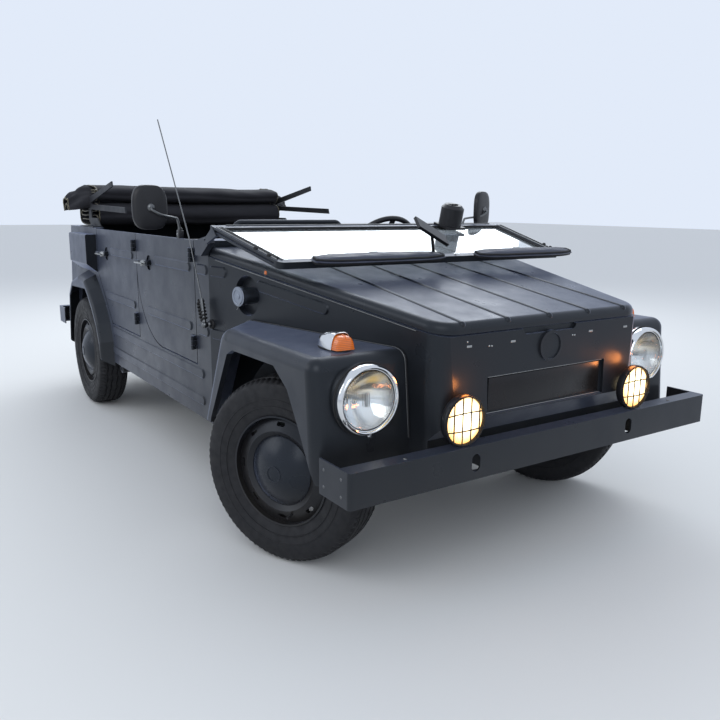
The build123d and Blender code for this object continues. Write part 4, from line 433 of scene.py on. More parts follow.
def reflector_finish(name, height):
    """A lamp's bright reflector, its upper part painted golden as a painted reflection of the amber lamp above it.
    """
    silver = (0.88, 0.90, 0.92)
    painted_amber_reflection = (0.95, 0.60, 0.14)
    finish = Finish(name, silver, 0.08, 1.0)
    # The upper part is painted golden: a painted reflection of the amber lamp above.
    high = finish.spread(finish.part(finish.place, "Z"), 0.0, 1.0, height - 0.004, height + 0.045)
    share = finish.maths("MULTIPLY", high, finish.spread(finish.noise(26), 0.3, 1.0, 0.35, 0.6))
    finish.feed("Base Color", finish.mixed(share, (*silver, 1), (*painted_amber_reflection, 1)))
    finish.rough(30, 0.05, 0.16, 0.0, 1.0)


class CAR_OT_finishes(bpy.types.Operator):
    """Make every finish and give each of the frame's own pieces its own."""

    bl_idname = "car.finishes"
    bl_label = "Finishes"

    def execute(self, context):
        colours = context.scene.car_colours
        self.paints(colours)
        self.soft_finishes(colours)
        self.metals()
        self.glasses(colours, context.scene.car_sizes.glow_strength)
        self.dress_frame()
        return {"FINISHED"}

    def paints(self, colours):
        """Paints: name, colour, dust, roughness, how high dust reaches, how much the edges are lightened by wear
        and painted highlight, sheen.
        """
        dust = tuple(colours.dust)
        paint_finish("body paint", colours.paint, dust, 0.34, 0.55, 0.5, 0.45)
        paint_finish("underbody", (0.018, 0.019, 0.020), dust, 0.66, 1.0, 0.4)
        paint_finish("chassis paint", (0.013, 0.013, 0.014), dust, 0.50, 1.1, 0.9)
        paint_finish("wheel paint", colours.wheel, dust, 0.36, 0.55, 0.7)
        paint_finish("cast metal", (0.11, 0.11, 0.11), dust, 0.70, 0.9, 0.5)
        paint_finish("hub cap paint", (0.009, 0.011, 0.015), dust, 0.28, 0.3, 0.25, 0.22)
        paint_finish("plate", (0.010, 0.008, 0.007), dust, 0.24, 0.6, 0.3)

    def soft_finishes(self, colours):
        """Rubbers, plastics, canvas and seat covers."""
        tyre_finish("tyre rubber", colours.rubber, tuple(colours.dust))
        rubber_finish("soft rubber", (0.008, 0.008, 0.009))
        rubber_finish("pale print", (0.55, 0.56, 0.54))
        plastic_finish("grained plastic", (0.010, 0.010, 0.012))
        plastic_finish("dial face", (0.016, 0.016, 0.017))
        canvas_finish("canvas", colours.canvas, 420)
        canvas_finish("binding", colours.binding, 350)
        vinyl_finish("vinyl", colours.vinyl, 480)
        vinyl_finish("visor cloth", (0.024, 0.028, 0.046), 900)

    def metals(self):
        """Metals: name, colour, lowest and highest roughness, depth of scratches."""
        metal_finish("chrome", (0.78, 0.79, 0.80), 0.05, 0.16, 0.15)
        metal_finish("bare steel", (0.50, 0.51, 0.52), 0.25, 0.45, 0.5)
        metal_finish("dark steel", (0.16, 0.165, 0.17), 0.25, 0.45, 0.4)
        metal_finish("mirror", (0.86, 0.88, 0.89), 0.01, 0.04, 0.0)
        metal_finish("silver cap", (0.30, 0.33, 0.39), 0.32, 0.50, 0.6)
        metal_finish("handle metal", (0.42, 0.43, 0.43), 0.30, 0.48, 0.6)

    def glasses(self, colours, glow_strength):
        """Window glass and everything that the lamps' light goes through or comes back from."""
        # The glass is left partly opaque in a pale colour: a painted pale reflection on top of its real one.
        window = glass_finish("window glass", (0.90, 0.97, 0.99), clear=0.86)
        window.set(IOR=1.75, Coat_Weight=1.0)
        glass_finish("lamp glass", (0.97, 0.98, 0.97), 0.02, flute=62)
        reflector_finish("lamp reflector", HEADLAMP.z)
        lens_finish("amber lens", tuple(colours.amber))
        lens_finish("red lens", tuple(colours.red))
        lit_finish("lit glass", tuple(colours.glow), glow_strength, FOG_LAMP, FOG_LAMP_RADIUS)

    def dress_frame(self):
        """Give each of the frame's own pieces the first finish of its slot."""
        for entry in frame["record"]["subparts"]:
            finish = SLOT_FINISHES[entry["material_slot"]][0]
            if entry["node"] == "antenna":
                finish = "dark steel"
            materials = frame["nodes"][entry["node"]].data.materials
            materials.clear()
            materials.append(bpy.data.materials[finish])


def axes_round(axis):
    """A unit axis, and two directions square to it and to each other."""
    axis = Vector(axis).normalized()
    first = axis.cross(UP if abs(axis.z) < 0.9 else FORWARD).normalized()
    return axis, first, axis.cross(first)


def frame_of(x_axis, z_axis):
    """A turn whose own X and Z point the given ways."""
    x_axis = Vector(x_axis).normalized()
    z_axis = Vector(z_axis).normalized()
    return Matrix((x_axis, z_axis.cross(x_axis), z_axis)).transposed().to_4x4()


def between(low, high, share):
    """The value some share of the way from low to high."""
    return low + (high - low) * share


def steps_between(low, high, count):
    """Evenly spaced values from low to high, both included."""
    return [between(low, high, k / (count - 1)) for k in range(count)]


def turns_round(count):
    """Evenly spaced angles once round a circle."""
    return [2 * pi * k / count for k in range(count)]


def shares(count):
    """Evenly spaced values from -1 to 1, with more close to both ends."""
    inner = [-1 + 2 * k / count for k in range(1, count)]
    return [-1, -0.985, -0.955, *[value for value in inner if abs(value) < 0.93], 0.955, 0.985, 1]


def smooth_path(points, steps=6, closed=False):
    """Points along a soft curve through the given ones."""
    points = [Vector(point) for point in points]
    count = len(points)
    found = []
    for i in range(count if closed else count - 1):
        near = [i + k for k in (-1, 0, 1, 2)]
        if closed:
            before, start, end, after = (points[k % count] for k in near)
        else:
            before, start, end, after = (points[min(max(k, 0), count - 1)] for k in near)
        for step in range(steps):
            t = step / steps
            found.append(0.5 * (2 * start + (end - before) * t
                                + (2 * before - 5 * start + 4 * end - after) * t ** 2
                                + (3 * start - before - 3 * end + after) * t ** 3))
    return found if closed else found + [points[-1]]


def rounded_loop(corners, radius, steps=6):
    """A closed flat outline with its corners rounded."""
    found = []
    count = len(corners)
    for i in range(count):
        before, here, after = (Vector(corners[(i + k) % count]) for k in (-1, 0, 1))
        start = here + (before - here).normalized() * radius
        end = here + (after - here).normalized() * radius
        for step in range(steps + 1):
            t = step / steps
            found.append(start * (1 - t) ** 2 + here * 2 * t * (1 - t) + end * t ** 2)
    return found


class Form:
    """A mesh put together from grids, turned profiles, tubes, blocks, domes and rings."""

    def __init__(self):
        self.mesh = bmesh.new()
        self.finishes = []

    def number(self, finish):
        """The place of a finish among this form's own."""
        if finish not in self.finishes:
            self.finishes.append(finish)
        return self.finishes.index(finish)

    def face(self, verts, finish):
        """One face between vertices that are there already."""
        self.mesh.faces.new(verts).material_index = self.number(finish)

    def grid(self, rows, finish, close_rows=False, close_columns=False, caps=(False, False)):
        """Faces between rows of points, closed round either way or capped at its first or last row."""
        verts = [[self.mesh.verts.new(point) for point in row] for row in rows]
        count = len(verts)
        across = len(verts[0])
        for i in range(count if close_rows else count - 1):
            below = verts[(i + 1) % count]
            for j in range(across if close_columns else across - 1):
                after = (j + 1) % across
                self.face((verts[i][j], verts[i][after], below[after], below[j]), finish)
        for capped, end in zip(caps, (verts[0], verts[-1])):
            if capped:
                self.face(end, finish)
        return self

    def turned(self, centre, axis, profile, finish, steps=40, closed=False):
        """A profile of radius and distance along the axis, turned round it."""
        axis, first, second = axes_round(axis)
        turns = turns_round(steps)
        rows = [[Vector(centre) + axis * along + (first * cos(t) + second * sin(t)) * radius for t in turns]
                for radius, along in profile]
        return self.grid(rows, finish, close_rows=closed, close_columns=True)

    def tube(self, points, radius, finish, sides=8, closed=False, flat=1.0):
        """A round or flattened tube along points; radius is one number, or one for each point."""
        points = [Vector(point) for point in points]
        count = len(points)
        radii = radius if isinstance(radius, list) else [radius] * count
        side = None
        rows = []
        for i, point in enumerate(points):
            ahead = points[(i + 1) % count] if closed or i < count - 1 else point
            behind = points[i - 1] if closed or i else point
            along = (ahead - behind).normalized()
            if side is None:
                side = axes_round(along)[1]
            side = (side - along * side.dot(along)).normalized()
            lift = along.cross(side) * flat
            rows.append([point + (side * cos(t) + lift * sin(t)) * radii[i] for t in turns_round(sides)])
        return self.grid(rows, finish, close_rows=closed, close_columns=True, caps=(not closed, not closed))

    def block(self, centre, size, finish, turn=None, bevel=0.001, segments=2):
        """A block with rounded edges."""
        place = Matrix.Translation(Vector(centre)) @ (turn or Matrix()) @ Matrix.Diagonal((*size, 1))
        made = bmesh.ops.create_cube(self.mesh, size=1, matrix=place)["verts"]
        number = self.number(finish)
        for face in {face for vert in made for face in vert.link_faces}:
            face.material_index = number
        edges = list({edge for vert in made for edge in vert.link_edges})
        bmesh.ops.bevel(self.mesh, geom=edges, offset=bevel, segments=segments, profile=0.5, affect="EDGES")
        return self

    def dome(self, centre, axis, radius, rise, finish, steps=24, rings=6, skirt=0.0):
        """A low dome, with a straight skirt below it."""
        profile = [(0, -skirt)]
        if skirt:
            profile.append((radius, -skirt))
        profile += [(radius * cos(t), rise * sin(t)) for t in steps_between(0, pi / 2, rings + 1)]
        return self.turned(centre, axis, profile, finish, steps)

    def bolt(self, centre, axis, radius, finish):
        """A hexagon bolt head on a round washer."""
        washer = radius * 1.35
        seat = radius * 0.24
        top = radius * 0.8
        crown = radius * 0.92
        self.turned(centre, axis, [(0, 0), (washer, 0), (washer, seat), (0, seat)], finish, 16)
        profile = [(0, seat), (radius, seat), (radius, top), (radius * 0.82, crown), (0, crown)]
        return self.turned(centre, axis, profile, finish, 6)

    def ring(self, centre, axis, radius, thick, finish, steps=48, sides=8):
        """A round ring."""
        profile = [(radius + thick * cos(t), thick * sin(t)) for t in turns_round(sides)]
        return self.turned(centre, axis, profile, finish, steps, closed=True)

    def piece(self, name, body="body", slot=None, replaces=(), angle=SMOOTH_ANGLE):
        """Turn the form into a piece that rides on a body, smooth where its faces meet below the angle."""
        bmesh.ops.remove_doubles(self.mesh, verts=self.mesh.verts, dist=MERGE)
        bmesh.ops.dissolve_degenerate(self.mesh, edges=self.mesh.edges, dist=MERGE)
        bmesh.ops.recalc_face_normals(self.mesh, faces=self.mesh.faces)
        for edge in self.mesh.edges:
            edge.smooth = len(edge.link_faces) == 2 and edge.calc_face_angle(pi) < angle
        for face in self.mesh.faces:
            face.smooth = True
        data = bpy.data.meshes.new(name)
        self.mesh.to_mesh(data)
        self.mesh.free()
        for finish in self.finishes:
            data.materials.append(bpy.data.materials[finish])
        made = bpy.data.objects.new(name, data)
        bpy.context.scene.collection.objects.link(made)
        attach(made, body)
        if replaces:
            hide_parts(*replaces)
        return made


class Pad:
    """A sewn cushion: crowned top, sides pulled in between its corners, rolled edges and sewn channels.

    half is its half size along its own X and Y. The channels run along Y and follow one another along X.
    """

    # How deep the cover puckers, and how fine the puckers are along X, along Y and from pad to pad
    pucker = 0.0016
    pucker_scale = (7, 5, 9)
    # A seam's depth and half width, how far from the edge it reaches full depth, and the swell beside it
    seam_depth = 0.006
    seam_half = 0.006
    seam_fade = 0.02
    swell_reach = 0.03
    swell_share = 0.35
    # How much of the edge's roll and of the crown show in its height
    roll_share = 0.55
    under_share = 0.15
    # How far its corners pull in, and how far its sides bulge
    corner_pull = 0.055
    side_bulge = 0.012
    side_levels = (0, 0.12, 0.3, 0.5, 0.7, 0.88, 1)
    # The piping along its upper and lower edge
    piping_radius = 0.0042
    piping_out = 0.003
    piping_lift = 0.0015

    def __init__(self, half, thick, crown, channels=0, roll=0.022, pull=0.02, sag=0.0, taper=0.0):
        self.half = half
        self.thick = thick
        self.crown = crown
        self.roll = roll
        self.pull = pull
        self.sag = sag
        self.taper = taper
        self.along = shares(max(24, channels * 10))
        self.across = shares(24)
        self.seams = [-1 + 2 * (k + 1) / (channels + 1) for k in range(channels)]

    def level(self, p, q, side, seed):
        """The height of the cover at a share p along and q across, on its upper or lower side."""
        edge = min(self.half[0] * (1 - abs(p)), self.half[1] * (1 - abs(q)))
        drop = 0
        if edge < self.roll:
            drop = self.roll - sqrt(max(self.roll ** 2 - (self.roll - edge) ** 2, 0))
        along, across, fine = self.pucker_scale
        puckers = self.pucker * noise.noise(Vector((p * along, q * across, seed * fine)))
        height = self.thick / 2 - drop * self.roll_share + puckers
        if side < 0:
            return -(height + self.crown * self.under_share)
        height += self.crown * (1 - p ** 4) * (1 - q ** 4) - self.sag * (1 - p * p) * (1 - q * q)
        near = min([abs(p - seam) * self.half[0] for seam in self.seams] or [1])
        sewn = exp(-(near / self.seam_half) ** 2) * min(1, edge / self.seam_fade)
        swell = self.swell_share * min(1, near / self.swell_reach)
        return height - self.seam_depth * (sewn - swell)

    def point(self, p, q, side, seed):
        """A point of the cover in the pad's own place."""
        corner = 1 - self.corner_pull * abs(p * q) ** 9
        x = self.half[0] * p * (1 - self.pull * (1 - q * q)) * corner * (1 - self.taper * abs(q) ** 5)
        y = self.half[1] * q * (1 - self.pull * (1 - p * p)) * corner
        return Vector((x, y, self.level(p, q, side, seed)))

    def sewn(self, centre, turn, finish, piping):
        """The pad as a form, sewn at a place."""
        place = Matrix.Translation(centre) @ turn
        seed = centre.y
        form = Form()
        for side in (1, -1):
            rows = [[place @ self.point(p, q, side, seed) for q in self.across] for p in self.along]
            form.grid(rows, finish)
        rim = [(p, -1) for p in self.along] + [(1, q) for q in self.across[1:]]
        rim += [(p, 1) for p in reversed(self.along[:-1])] + [(-1, q) for q in reversed(self.across[1:-1])]
        upper = [self.point(p, q, 1, seed) for p, q in rim]
        lower = [self.point(p, q, -1, seed) for p, q in rim]
        rows = []
        for share in self.side_levels:
            bulge = self.side_bulge * sin(pi * share)
            rows.append([place @ (high.lerp(low, share) + self.outward(high) * bulge)
                         for high, low in zip(upper, lower)])
        form.grid(rows, finish, close_columns=True)
        for loop, lift in ((upper, self.piping_lift), (lower, -self.piping_lift)):
            line = [place @ (spot + self.outward(spot) * self.piping_out + UP * lift) for spot in loop]
            form.tube(line, self.piping_radius, piping, 8, closed=True)
        return form

    def outward(self, spot):
        """The way out from the pad's middle, level with its own X and Y."""
        return Vector((spot.x / self.half[0], spot.y / self.half[1], 0))


def ribbon(rows, thick, finish, edges):
    """A sheet of cloth as thick as it is: its two faces, its four edges and the tape along both sides.

    Each row is a list of points from one side of the cloth to the other.
    """
    count = len(rows)
    width = len(rows[0])
    upper = []
    lower = []
    for i, row in enumerate(rows):
        after = rows[min(i + 1, count - 1)]
        before = rows[max(i - 1, 0)]
        lifts = []
        for j in range(width):
            along = after[j] - before[j]
            side = row[min(j + 1, width - 1)] - row[max(j - 1, 0)]
            lifts.append(along.cross(side).normalized() * (thick / 2))
        upper.append([point + lift for point, lift in zip(row, lifts)])
        lower.append([point - lift for point, lift in zip(row, lifts)])
    form = Form()
    form.grid(upper, finish)
    form.grid(lower, finish)
    for j in (0, -1):
        form.grid([[row[j] for row in upper], [row[j] for row in lower]], edges)
    for i in (0, -1):
        form.grid([upper[i], lower[i]], edges)
    for j in (0, -1):
        form.tube([row[j] for row in rows], thick * 0.8, edges, 6)
    return form


class Skin:
    """Finds where a line meets the frame's own nodes, so that a small piece can lie on them."""

    def __init__(self, *names):
        self.nodes = [frame["nodes"][name] for name in names]

    def hit(self, start, direction):
        """The nearest point of the nodes along a direction."""
        start = Vector(start)
        found = []
        for node in self.nodes:
            met, point, _, _ = node.ray_cast(start, Vector(direction))
            if met:
                found.append(point)
        if not found:
            raise RuntimeError(f"nothing met from {tuple(start)}")
        return min(found, key=lambda point: (point - start).length)


def on_side(place, sign):
    """A place given for the left side, on one side of the car."""
    return Vector((place.x, sign * place.y, place.z))


def nose_edge(x):
    """Half the nose's width, and the height of its upper edge, at a place along the car."""
    spot = NOSE_REAR.lerp(NOSE_FRONT, (x - NOSE_REAR.x) / (NOSE_FRONT.x - NOSE_REAR.x))
    return spot.y, spot.z


def beside_nose(x, z, sign, gap=0.0):
    """A point at a gap beside the nose's wall."""
    return Vector((x, sign * (nose_edge(x)[0] + gap), z))


def nose_outward(sign):
    """The way out from the nose's side, which narrows towards the front."""
    return Vector((NOSE_REAR.y - NOSE_FRONT.y, sign * (NOSE_FRONT.x - NOSE_REAR.x), 0)).normalized()


def wheels():
    """Each wheel's name, the body it turns with, its centre, and its outward axis with two square to it."""
    for end in ("front", "rear"):
        for side, sign in SIDES.items():
            joint = JOINTS[f"roll_{end}_{side}"]
            axes = axes_round(Vector(joint["axis"]) * sign)
            yield f"{end}_{side}", joint["child"], Vector(joint["pos_m"]), axes


# A tyre's section outside its tread: radius and place along the axle
SHOULDER = ((0.3155, 0.0500), (0.3150, 0.0575), (0.3115, 0.0655), (0.3060, 0.0722))
SIDEWALL = ((0.3015, 0.0750), (0.297, 0.0788), (0.285, 0.0806), (0.272, 0.0822), (0.262, 0.0825),
            (0.2515, 0.0818), (0.2505, 0.0832), (0.2475, 0.0832), (0.2465, 0.0815), (0.236, 0.0795),
            (0.2255, 0.0768), (0.2245, 0.0784), (0.2215, 0.0784), (0.2205, 0.0758), (0.209, 0.0718),
            (0.199, 0.0682), (0.1925, 0.0652), (0.190, 0.0645))
# A shoulder rib and the gap beside it, and a straight run of the zigzag grooves, in steps round the tyre
PITCH_STEPS, RIB_STEPS, ZIGZAG_STEPS = 4, 2, 6


def tyre_section(depth):
    """A tyre's section as radius, place along the axle and kind of detail, from its inner side outward."""
    edge = TYRE_RADIUS - TREAD_CROWN
    tread = [(edge, -TREAD_HALF, "plain")]
    for middle in TREAD_GROOVES:
        top = TYRE_RADIUS - TREAD_CROWN * (middle / TREAD_HALF) ** 2
        for place, deep in ((-1, 0), (-0.6, depth), (0.6, depth), (1, 0)):
            tread.append((top - deep, middle + place * GROOVE_HALF, "groove"))
    tread.append((edge, TREAD_HALF, "plain"))
    outer = [(radius, along, "rib") for radius, along in SHOULDER]
    outer += [(radius, along, "plain") for radius, along in SIDEWALL]
    inner = [(radius, -along, kind) for radius, along, kind in reversed(outer)]
    return inner + tread + outer


class CAR_OT_tyres(bpy.types.Operator):
    """Mould the four tyres with their tread, shoulder ribs and sidewall rings."""

    bl_idname = "car.tyres"
    bl_label = "Tyres"

    def execute(self, context):
        sizes = context.scene.car_sizes
        section = tyre_section(sizes.groove_depth)
        turns = turns_round(sizes.tread_pitches * PITCH_STEPS)
        for wheel, body, centre, (axis, first, second) in wheels():
            columns = []
            for step, turn in enumerate(turns):
                out = first * cos(turn) + second * sin(turn)
                moved = ZIGZAG if (step // ZIGZAG_STEPS) % 2 else -ZIGZAG
                cut = 0 if step % PITCH_STEPS < RIB_STEPS else RIB_DEPTH
                column = []
                for radius, along, kind in section:
                    depth = cut if kind == "rib" else 0
                    shift = moved if kind == "groove" else 0
                    column.append(centre + out * (radius - depth) + axis * (along + shift))
                columns.append(column)
            form = Form().grid(columns, "tyre rubber", close_rows=True, close_columns=True)
            form.piece(f"tyre_tread_{wheel}", body, replaces=(f"tyre_{wheel}",))
        return {"FINISHED"}


HUB_CAP_RADIUS = 0.1183
HUB_CAP_RISE = 0.0446
HUB_CAP_HEIGHT = 0.044
HUB_RING_RADIUS = 0.026
VALVE_RADIUS = 0.150


def cap_rise(radius):
    """How far the ball shaped hub cap stands above its rim at a radius."""
    ball = (HUB_CAP_RADIUS ** 2 + HUB_CAP_RISE ** 2) / (2 * HUB_CAP_RISE)
    return sqrt(ball ** 2 - radius ** 2) - ball + HUB_CAP_RISE


class CAR_OT_wheel_fittings(bpy.types.Operator):
    """Add the wheels' satin caps with their rings, and the valves."""

    bl_idname = "car.wheel_fittings"
    bl_label = "Wheel caps and valves"

    def execute(self, context):
        for wheel, body, centre, axes in wheels():
            axis = axes[0]
            rim = frame["nodes"][f"rim_{wheel}"].data
            base = max((vert.co - centre).dot(axis) for vert in rim.vertices) - HUB_CAP_HEIGHT
            self.cap(wheel, body, centre, axis, base)
            self.valve(wheel, body, centre + axis * base, axes)
        return {"FINISHED"}

    def cap(self, wheel, body, centre, axis, base):
        """A domed cap with a lip round it and a plain raised ring in its middle."""
        lip = HUB_CAP_RADIUS + 0.0015
        profile = [(lip, base + 0.0002), (lip, base + 0.003)]
        profile += [(radius, base + cap_rise(radius)) for radius in steps_between(HUB_CAP_RADIUS, 0, 15)]
        form = Form().turned(centre, axis, profile, "hub cap paint", 72)
        top = base + cap_rise(HUB_RING_RADIUS) + 0.0004
        form.ring(centre + axis * top, axis, HUB_RING_RADIUS, 0.0018, "hub cap paint")
        form.piece(f"hub_cap_{wheel}", body)

    def valve(self, wheel, body, centre, axes):
        """A rubber valve with its dust cap."""
        axis, first, second = axes
        down = (second * 0.954 - first * 0.3).normalized()
        seat = centre + down * VALVE_RADIUS - axis * 0.004
        neck = seat + axis * 0.028 + down * 0.004
        form = Form().tube([seat, seat + axis * 0.014, neck], [0.0055, 0.0042, 0.0036], "soft rubber", 12)
        cap = [(0, 0), (0.0042, 0), (0.0042, 0.009), (0.003, 0.010), (0, 0.010)]
        form.turned(neck, axis + down * 0.2, cap, "soft rubber", 14)
        form.piece(f"valve_{wheel}", body)


def lens_bow(radius, base, rise, steps):
    """A bowed lens's profile from its middle to its edge."""
    return [(radius * sin(t), base + rise * cos(t)) for t in steps_between(0, pi / 2, steps + 1)]


# Profiles about the lamps' centres, as radius and distance forward
HEADLAMP_BEZEL = ((0.1045, -0.060), (0.1058, -0.030), (0.1060, -0.014), (0.1052, -0.006),
                  (0.1030, -0.0005), (0.0995, 0.0030), (0.0960, 0.0038), (0.0932, 0.0022),
                  (0.0922, -0.0010), (0.0918, -0.0040), (0.0898, -0.0046), (0.0892, -0.0080),
                  (0.0875, -0.0095), (0.0870, -0.0200), (0.0990, -0.0600))
HEADLAMP_SCREW = ((0, 0), (0.0042, 0), (0.0040, 0.0022), (0.0012, 0.003), (0, 0.003))
FOG_LAMP_HOUSING = ((0.030, -0.0280), (0.060, -0.0275), (0.0745, -0.0250), (0.0770, -0.0200),
                    (0.0770, -0.0040), (0.0758, -0.0008), (0.0725, 0.0000), (0.0700, -0.0012),
                    (0.0692, -0.0050), (0.0685, -0.0120), (0.030, -0.0140))


class CAR_OT_headlamps(bpy.types.Operator):
    """Build the headlamps: bezels, seals, reflectors, bulbs, fluted lenses and screws."""

    bl_idname = "car.headlamps"
    bl_label = "Headlamps"

    def execute(self, context):
        for side, sign in SIDES.items():
            centre = on_side(HEADLAMP, sign)
            form = Form().turned(centre, FORWARD, HEADLAMP_BEZEL, "chrome", 96, closed=True)
            lug = centre - FORWARD * 0.012 - UP * 0.1065
            form.block(lug, (0.020, 0.012, 0.006), "chrome", bevel=0.0015)
            form.piece(f"headlamp_bezel_{side}", replaces=("headlamps",))
            form = Form()
            form.ring(centre - FORWARD * 0.026, FORWARD, 0.1072, 0.0026, "soft rubber", 96)
            form.ring(centre - FORWARD * 0.0078, FORWARD, 0.0878, 0.0018, "soft rubber", 72)
            form.piece(f"headlamp_seal_{side}")
            self.reflector(side, centre)
            self.bulb(side, centre)
            outer = lens_bow(0.0876, -0.0070, 0.0205, 14)
            inner = [(radius * 0.985, along - 0.0032) for radius, along in reversed(outer)]
            form = Form().turned(centre, FORWARD, outer + inner, "lamp glass", 80)
            form.piece(f"headlamp_lens_{side}")
            form = Form()
            for turn in (radians(-28), radians(-90)):
                out = Vector((0, sign * cos(turn), sin(turn)))
                spot = centre + out * 0.0985 + FORWARD * 0.0022
                form.turned(spot, FORWARD, HEADLAMP_SCREW, "bare steel", 16)
            form.piece(f"headlamp_screws_{side}")
        return {"FINISHED"}

    def reflector(self, side, centre):
        """A bowl, closed behind by its own shell."""
        bowl = [(0.0872 * sqrt(share), -0.062 + 0.052 * share) for share in steps_between(0, 1, 13)]
        shell = [(0.0890, -0.0105), (0.0885, -0.064), (0, -0.0655)]
        form = Form().turned(centre, FORWARD, bowl + shell, "lamp reflector", 64)
        form.piece(f"headlamp_reflector_{side}")

    def bulb(self, side, centre):
        """A bulb in its socket, with the dark shield in front of it."""
        form = Form().tube([centre - FORWARD * 0.060, centre - FORWARD * 0.040], 0.010, "bare steel", 20)
        form.dome(centre - FORWARD * 0.040, FORWARD, 0.0085, 0.020, "bare steel", 20)
        form.block(centre - FORWARD * 0.020, (0.012, 0.015, 0.046), "soft rubber", bevel=0.005)
        form.piece(f"headlamp_bulb_{side}")


class CAR_OT_fog_lamps(bpy.types.Operator):
    """Build the lit fog lamps: housings, lenses and wire guards."""

    bl_idname = "car.fog_lamps"
    bl_label = "Fog lamps"

    def execute(self, context):
        wire = context.scene.car_sizes.guard_wire
        for side, sign in SIDES.items():
            centre = on_side(FOG_LAMP, sign)
            form = Form().turned(centre, FORWARD, FOG_LAMP_HOUSING, "grained plastic", 72, closed=True)
            for turn in map(radians, (40, 140, -40, -140)):
                clip = centre + Vector((-0.003, 0.0742 * cos(turn), 0.0742 * sin(turn)))
                form.block(clip, (0.008, 0.007, 0.007), "grained plastic", bevel=0.0015)
            form.piece(f"fog_lamp_housing_{side}", replaces=("fog_lamps",))
            lens = lens_bow(0.0690, -0.0075, 0.0118, 12) + [(0.0688, -0.0100), (0, -0.0105)]
            form = Form().turned(centre, FORWARD, lens, "lit glass", 64)
            form.piece(f"fog_lamp_lens_{side}")
            self.guard(side, centre, wire)
        return {"FINISHED"}

    def guard(self, side, centre, wire):
        """Two bowed bars across, four straight ones up and down, and a hoop that holds them."""
        reach = 0.0730
        form = Form()
        for height in (-0.024, 0.024):
            half = sqrt(reach ** 2 - height ** 2)
            line = []
            for share in steps_between(-1, 1, 17):
                ahead = 0.0064 + 0.0010 * cos(pi / 2 * share)
                bowed = height * (1 + 0.12 * (1 - share ** 2))
                line.append(centre + Vector((ahead, share * half, bowed)))
            self.bar(form, line, 0.009, wire)
        for across in (-0.048, -0.016, 0.016, 0.048):
            half = sqrt(reach ** 2 - across ** 2)
            line = [centre + Vector((0.0050, across, share * half)) for share in steps_between(-1, 1, 13)]
            self.bar(form, line, 0.008, wire)
        form.ring(centre + FORWARD * 0.0012, FORWARD, 0.0728, wire, "soft rubber", 64)
        form.piece(f"fog_lamp_guard_{side}")

    def bar(self, form, line, depth, wire):
        """A bar of the guard, bent back into the housing at both ends."""
        back = FORWARD * -depth
        form.tube([line[0] + back, *line, line[-1] + back], wire, "soft rubber", 8)


# A turn lamp stands on the fender's top. Its hood's sections, and its lens's: forward, half width, height
TURN_LAMP = Vector((1.570, 0.6495, 0.770))
HOOD_PLACES = (-0.0748, -0.072, -0.064, -0.050, -0.030, -0.008, 0.014, 0.032, 0.040, 0.043)
HOOD_REAR, HOOD_LENGTH = -0.0752, 0.092
HOOD_HALF, HOOD_HEIGHT = 0.0350, 0.0475
TURN_LENS = ((0.036, 0.0338, 0.0430), (0.050, 0.0334, 0.0420), (0.062, 0.0328, 0.0400),
             (0.068, 0.0315, 0.0380), (0.0715, 0.0290, 0.0350), (0.073, 0.0250, 0.0300))
HOOD_STEPS = 20
# A tail lamp lies on the sloping rear panel. Its lenses' finish, middle and length down the panel
TAIL_LAMP = Vector((-1.6635, 0.565, 0.617))
TAIL_DOWN = Vector((-0.028, 0, -0.140)).normalized()
TAIL_BACK = Vector((-1, 0, 0.2)).normalized()
TAIL_LENSES = {"upper": ("amber lens", -0.0445, 0.042), "lower": ("red lens", 0.0225, 0.086)}
TAIL_LENS_HALF = 0.0305
TAIL_LENS_LEVELS = ((-0.008, 0), (0.004, 0), (0.0085, 0.0012), (0.0112, 0.0045), (0.0122, 0.010))
TAIL_LENS_SQUARENESS = 1.25
BOX_POWER = 0.55
BOX_TAPER = 0.20


def hood_section(centre, along, half, height, lift):
    """A boxy half round section of a lamp standing on the fender."""
    section = []
    for turn in steps_between(0, pi, HOOD_STEPS + 1):
        z = max(sin(turn), 0) ** BOX_POWER
        x = copysign(abs(cos(turn)) ** BOX_POWER, cos(turn)) * (1 - BOX_TAPER * z)
        section.append(centre + Vector((along, half * x, lift + height * z)))
    return section


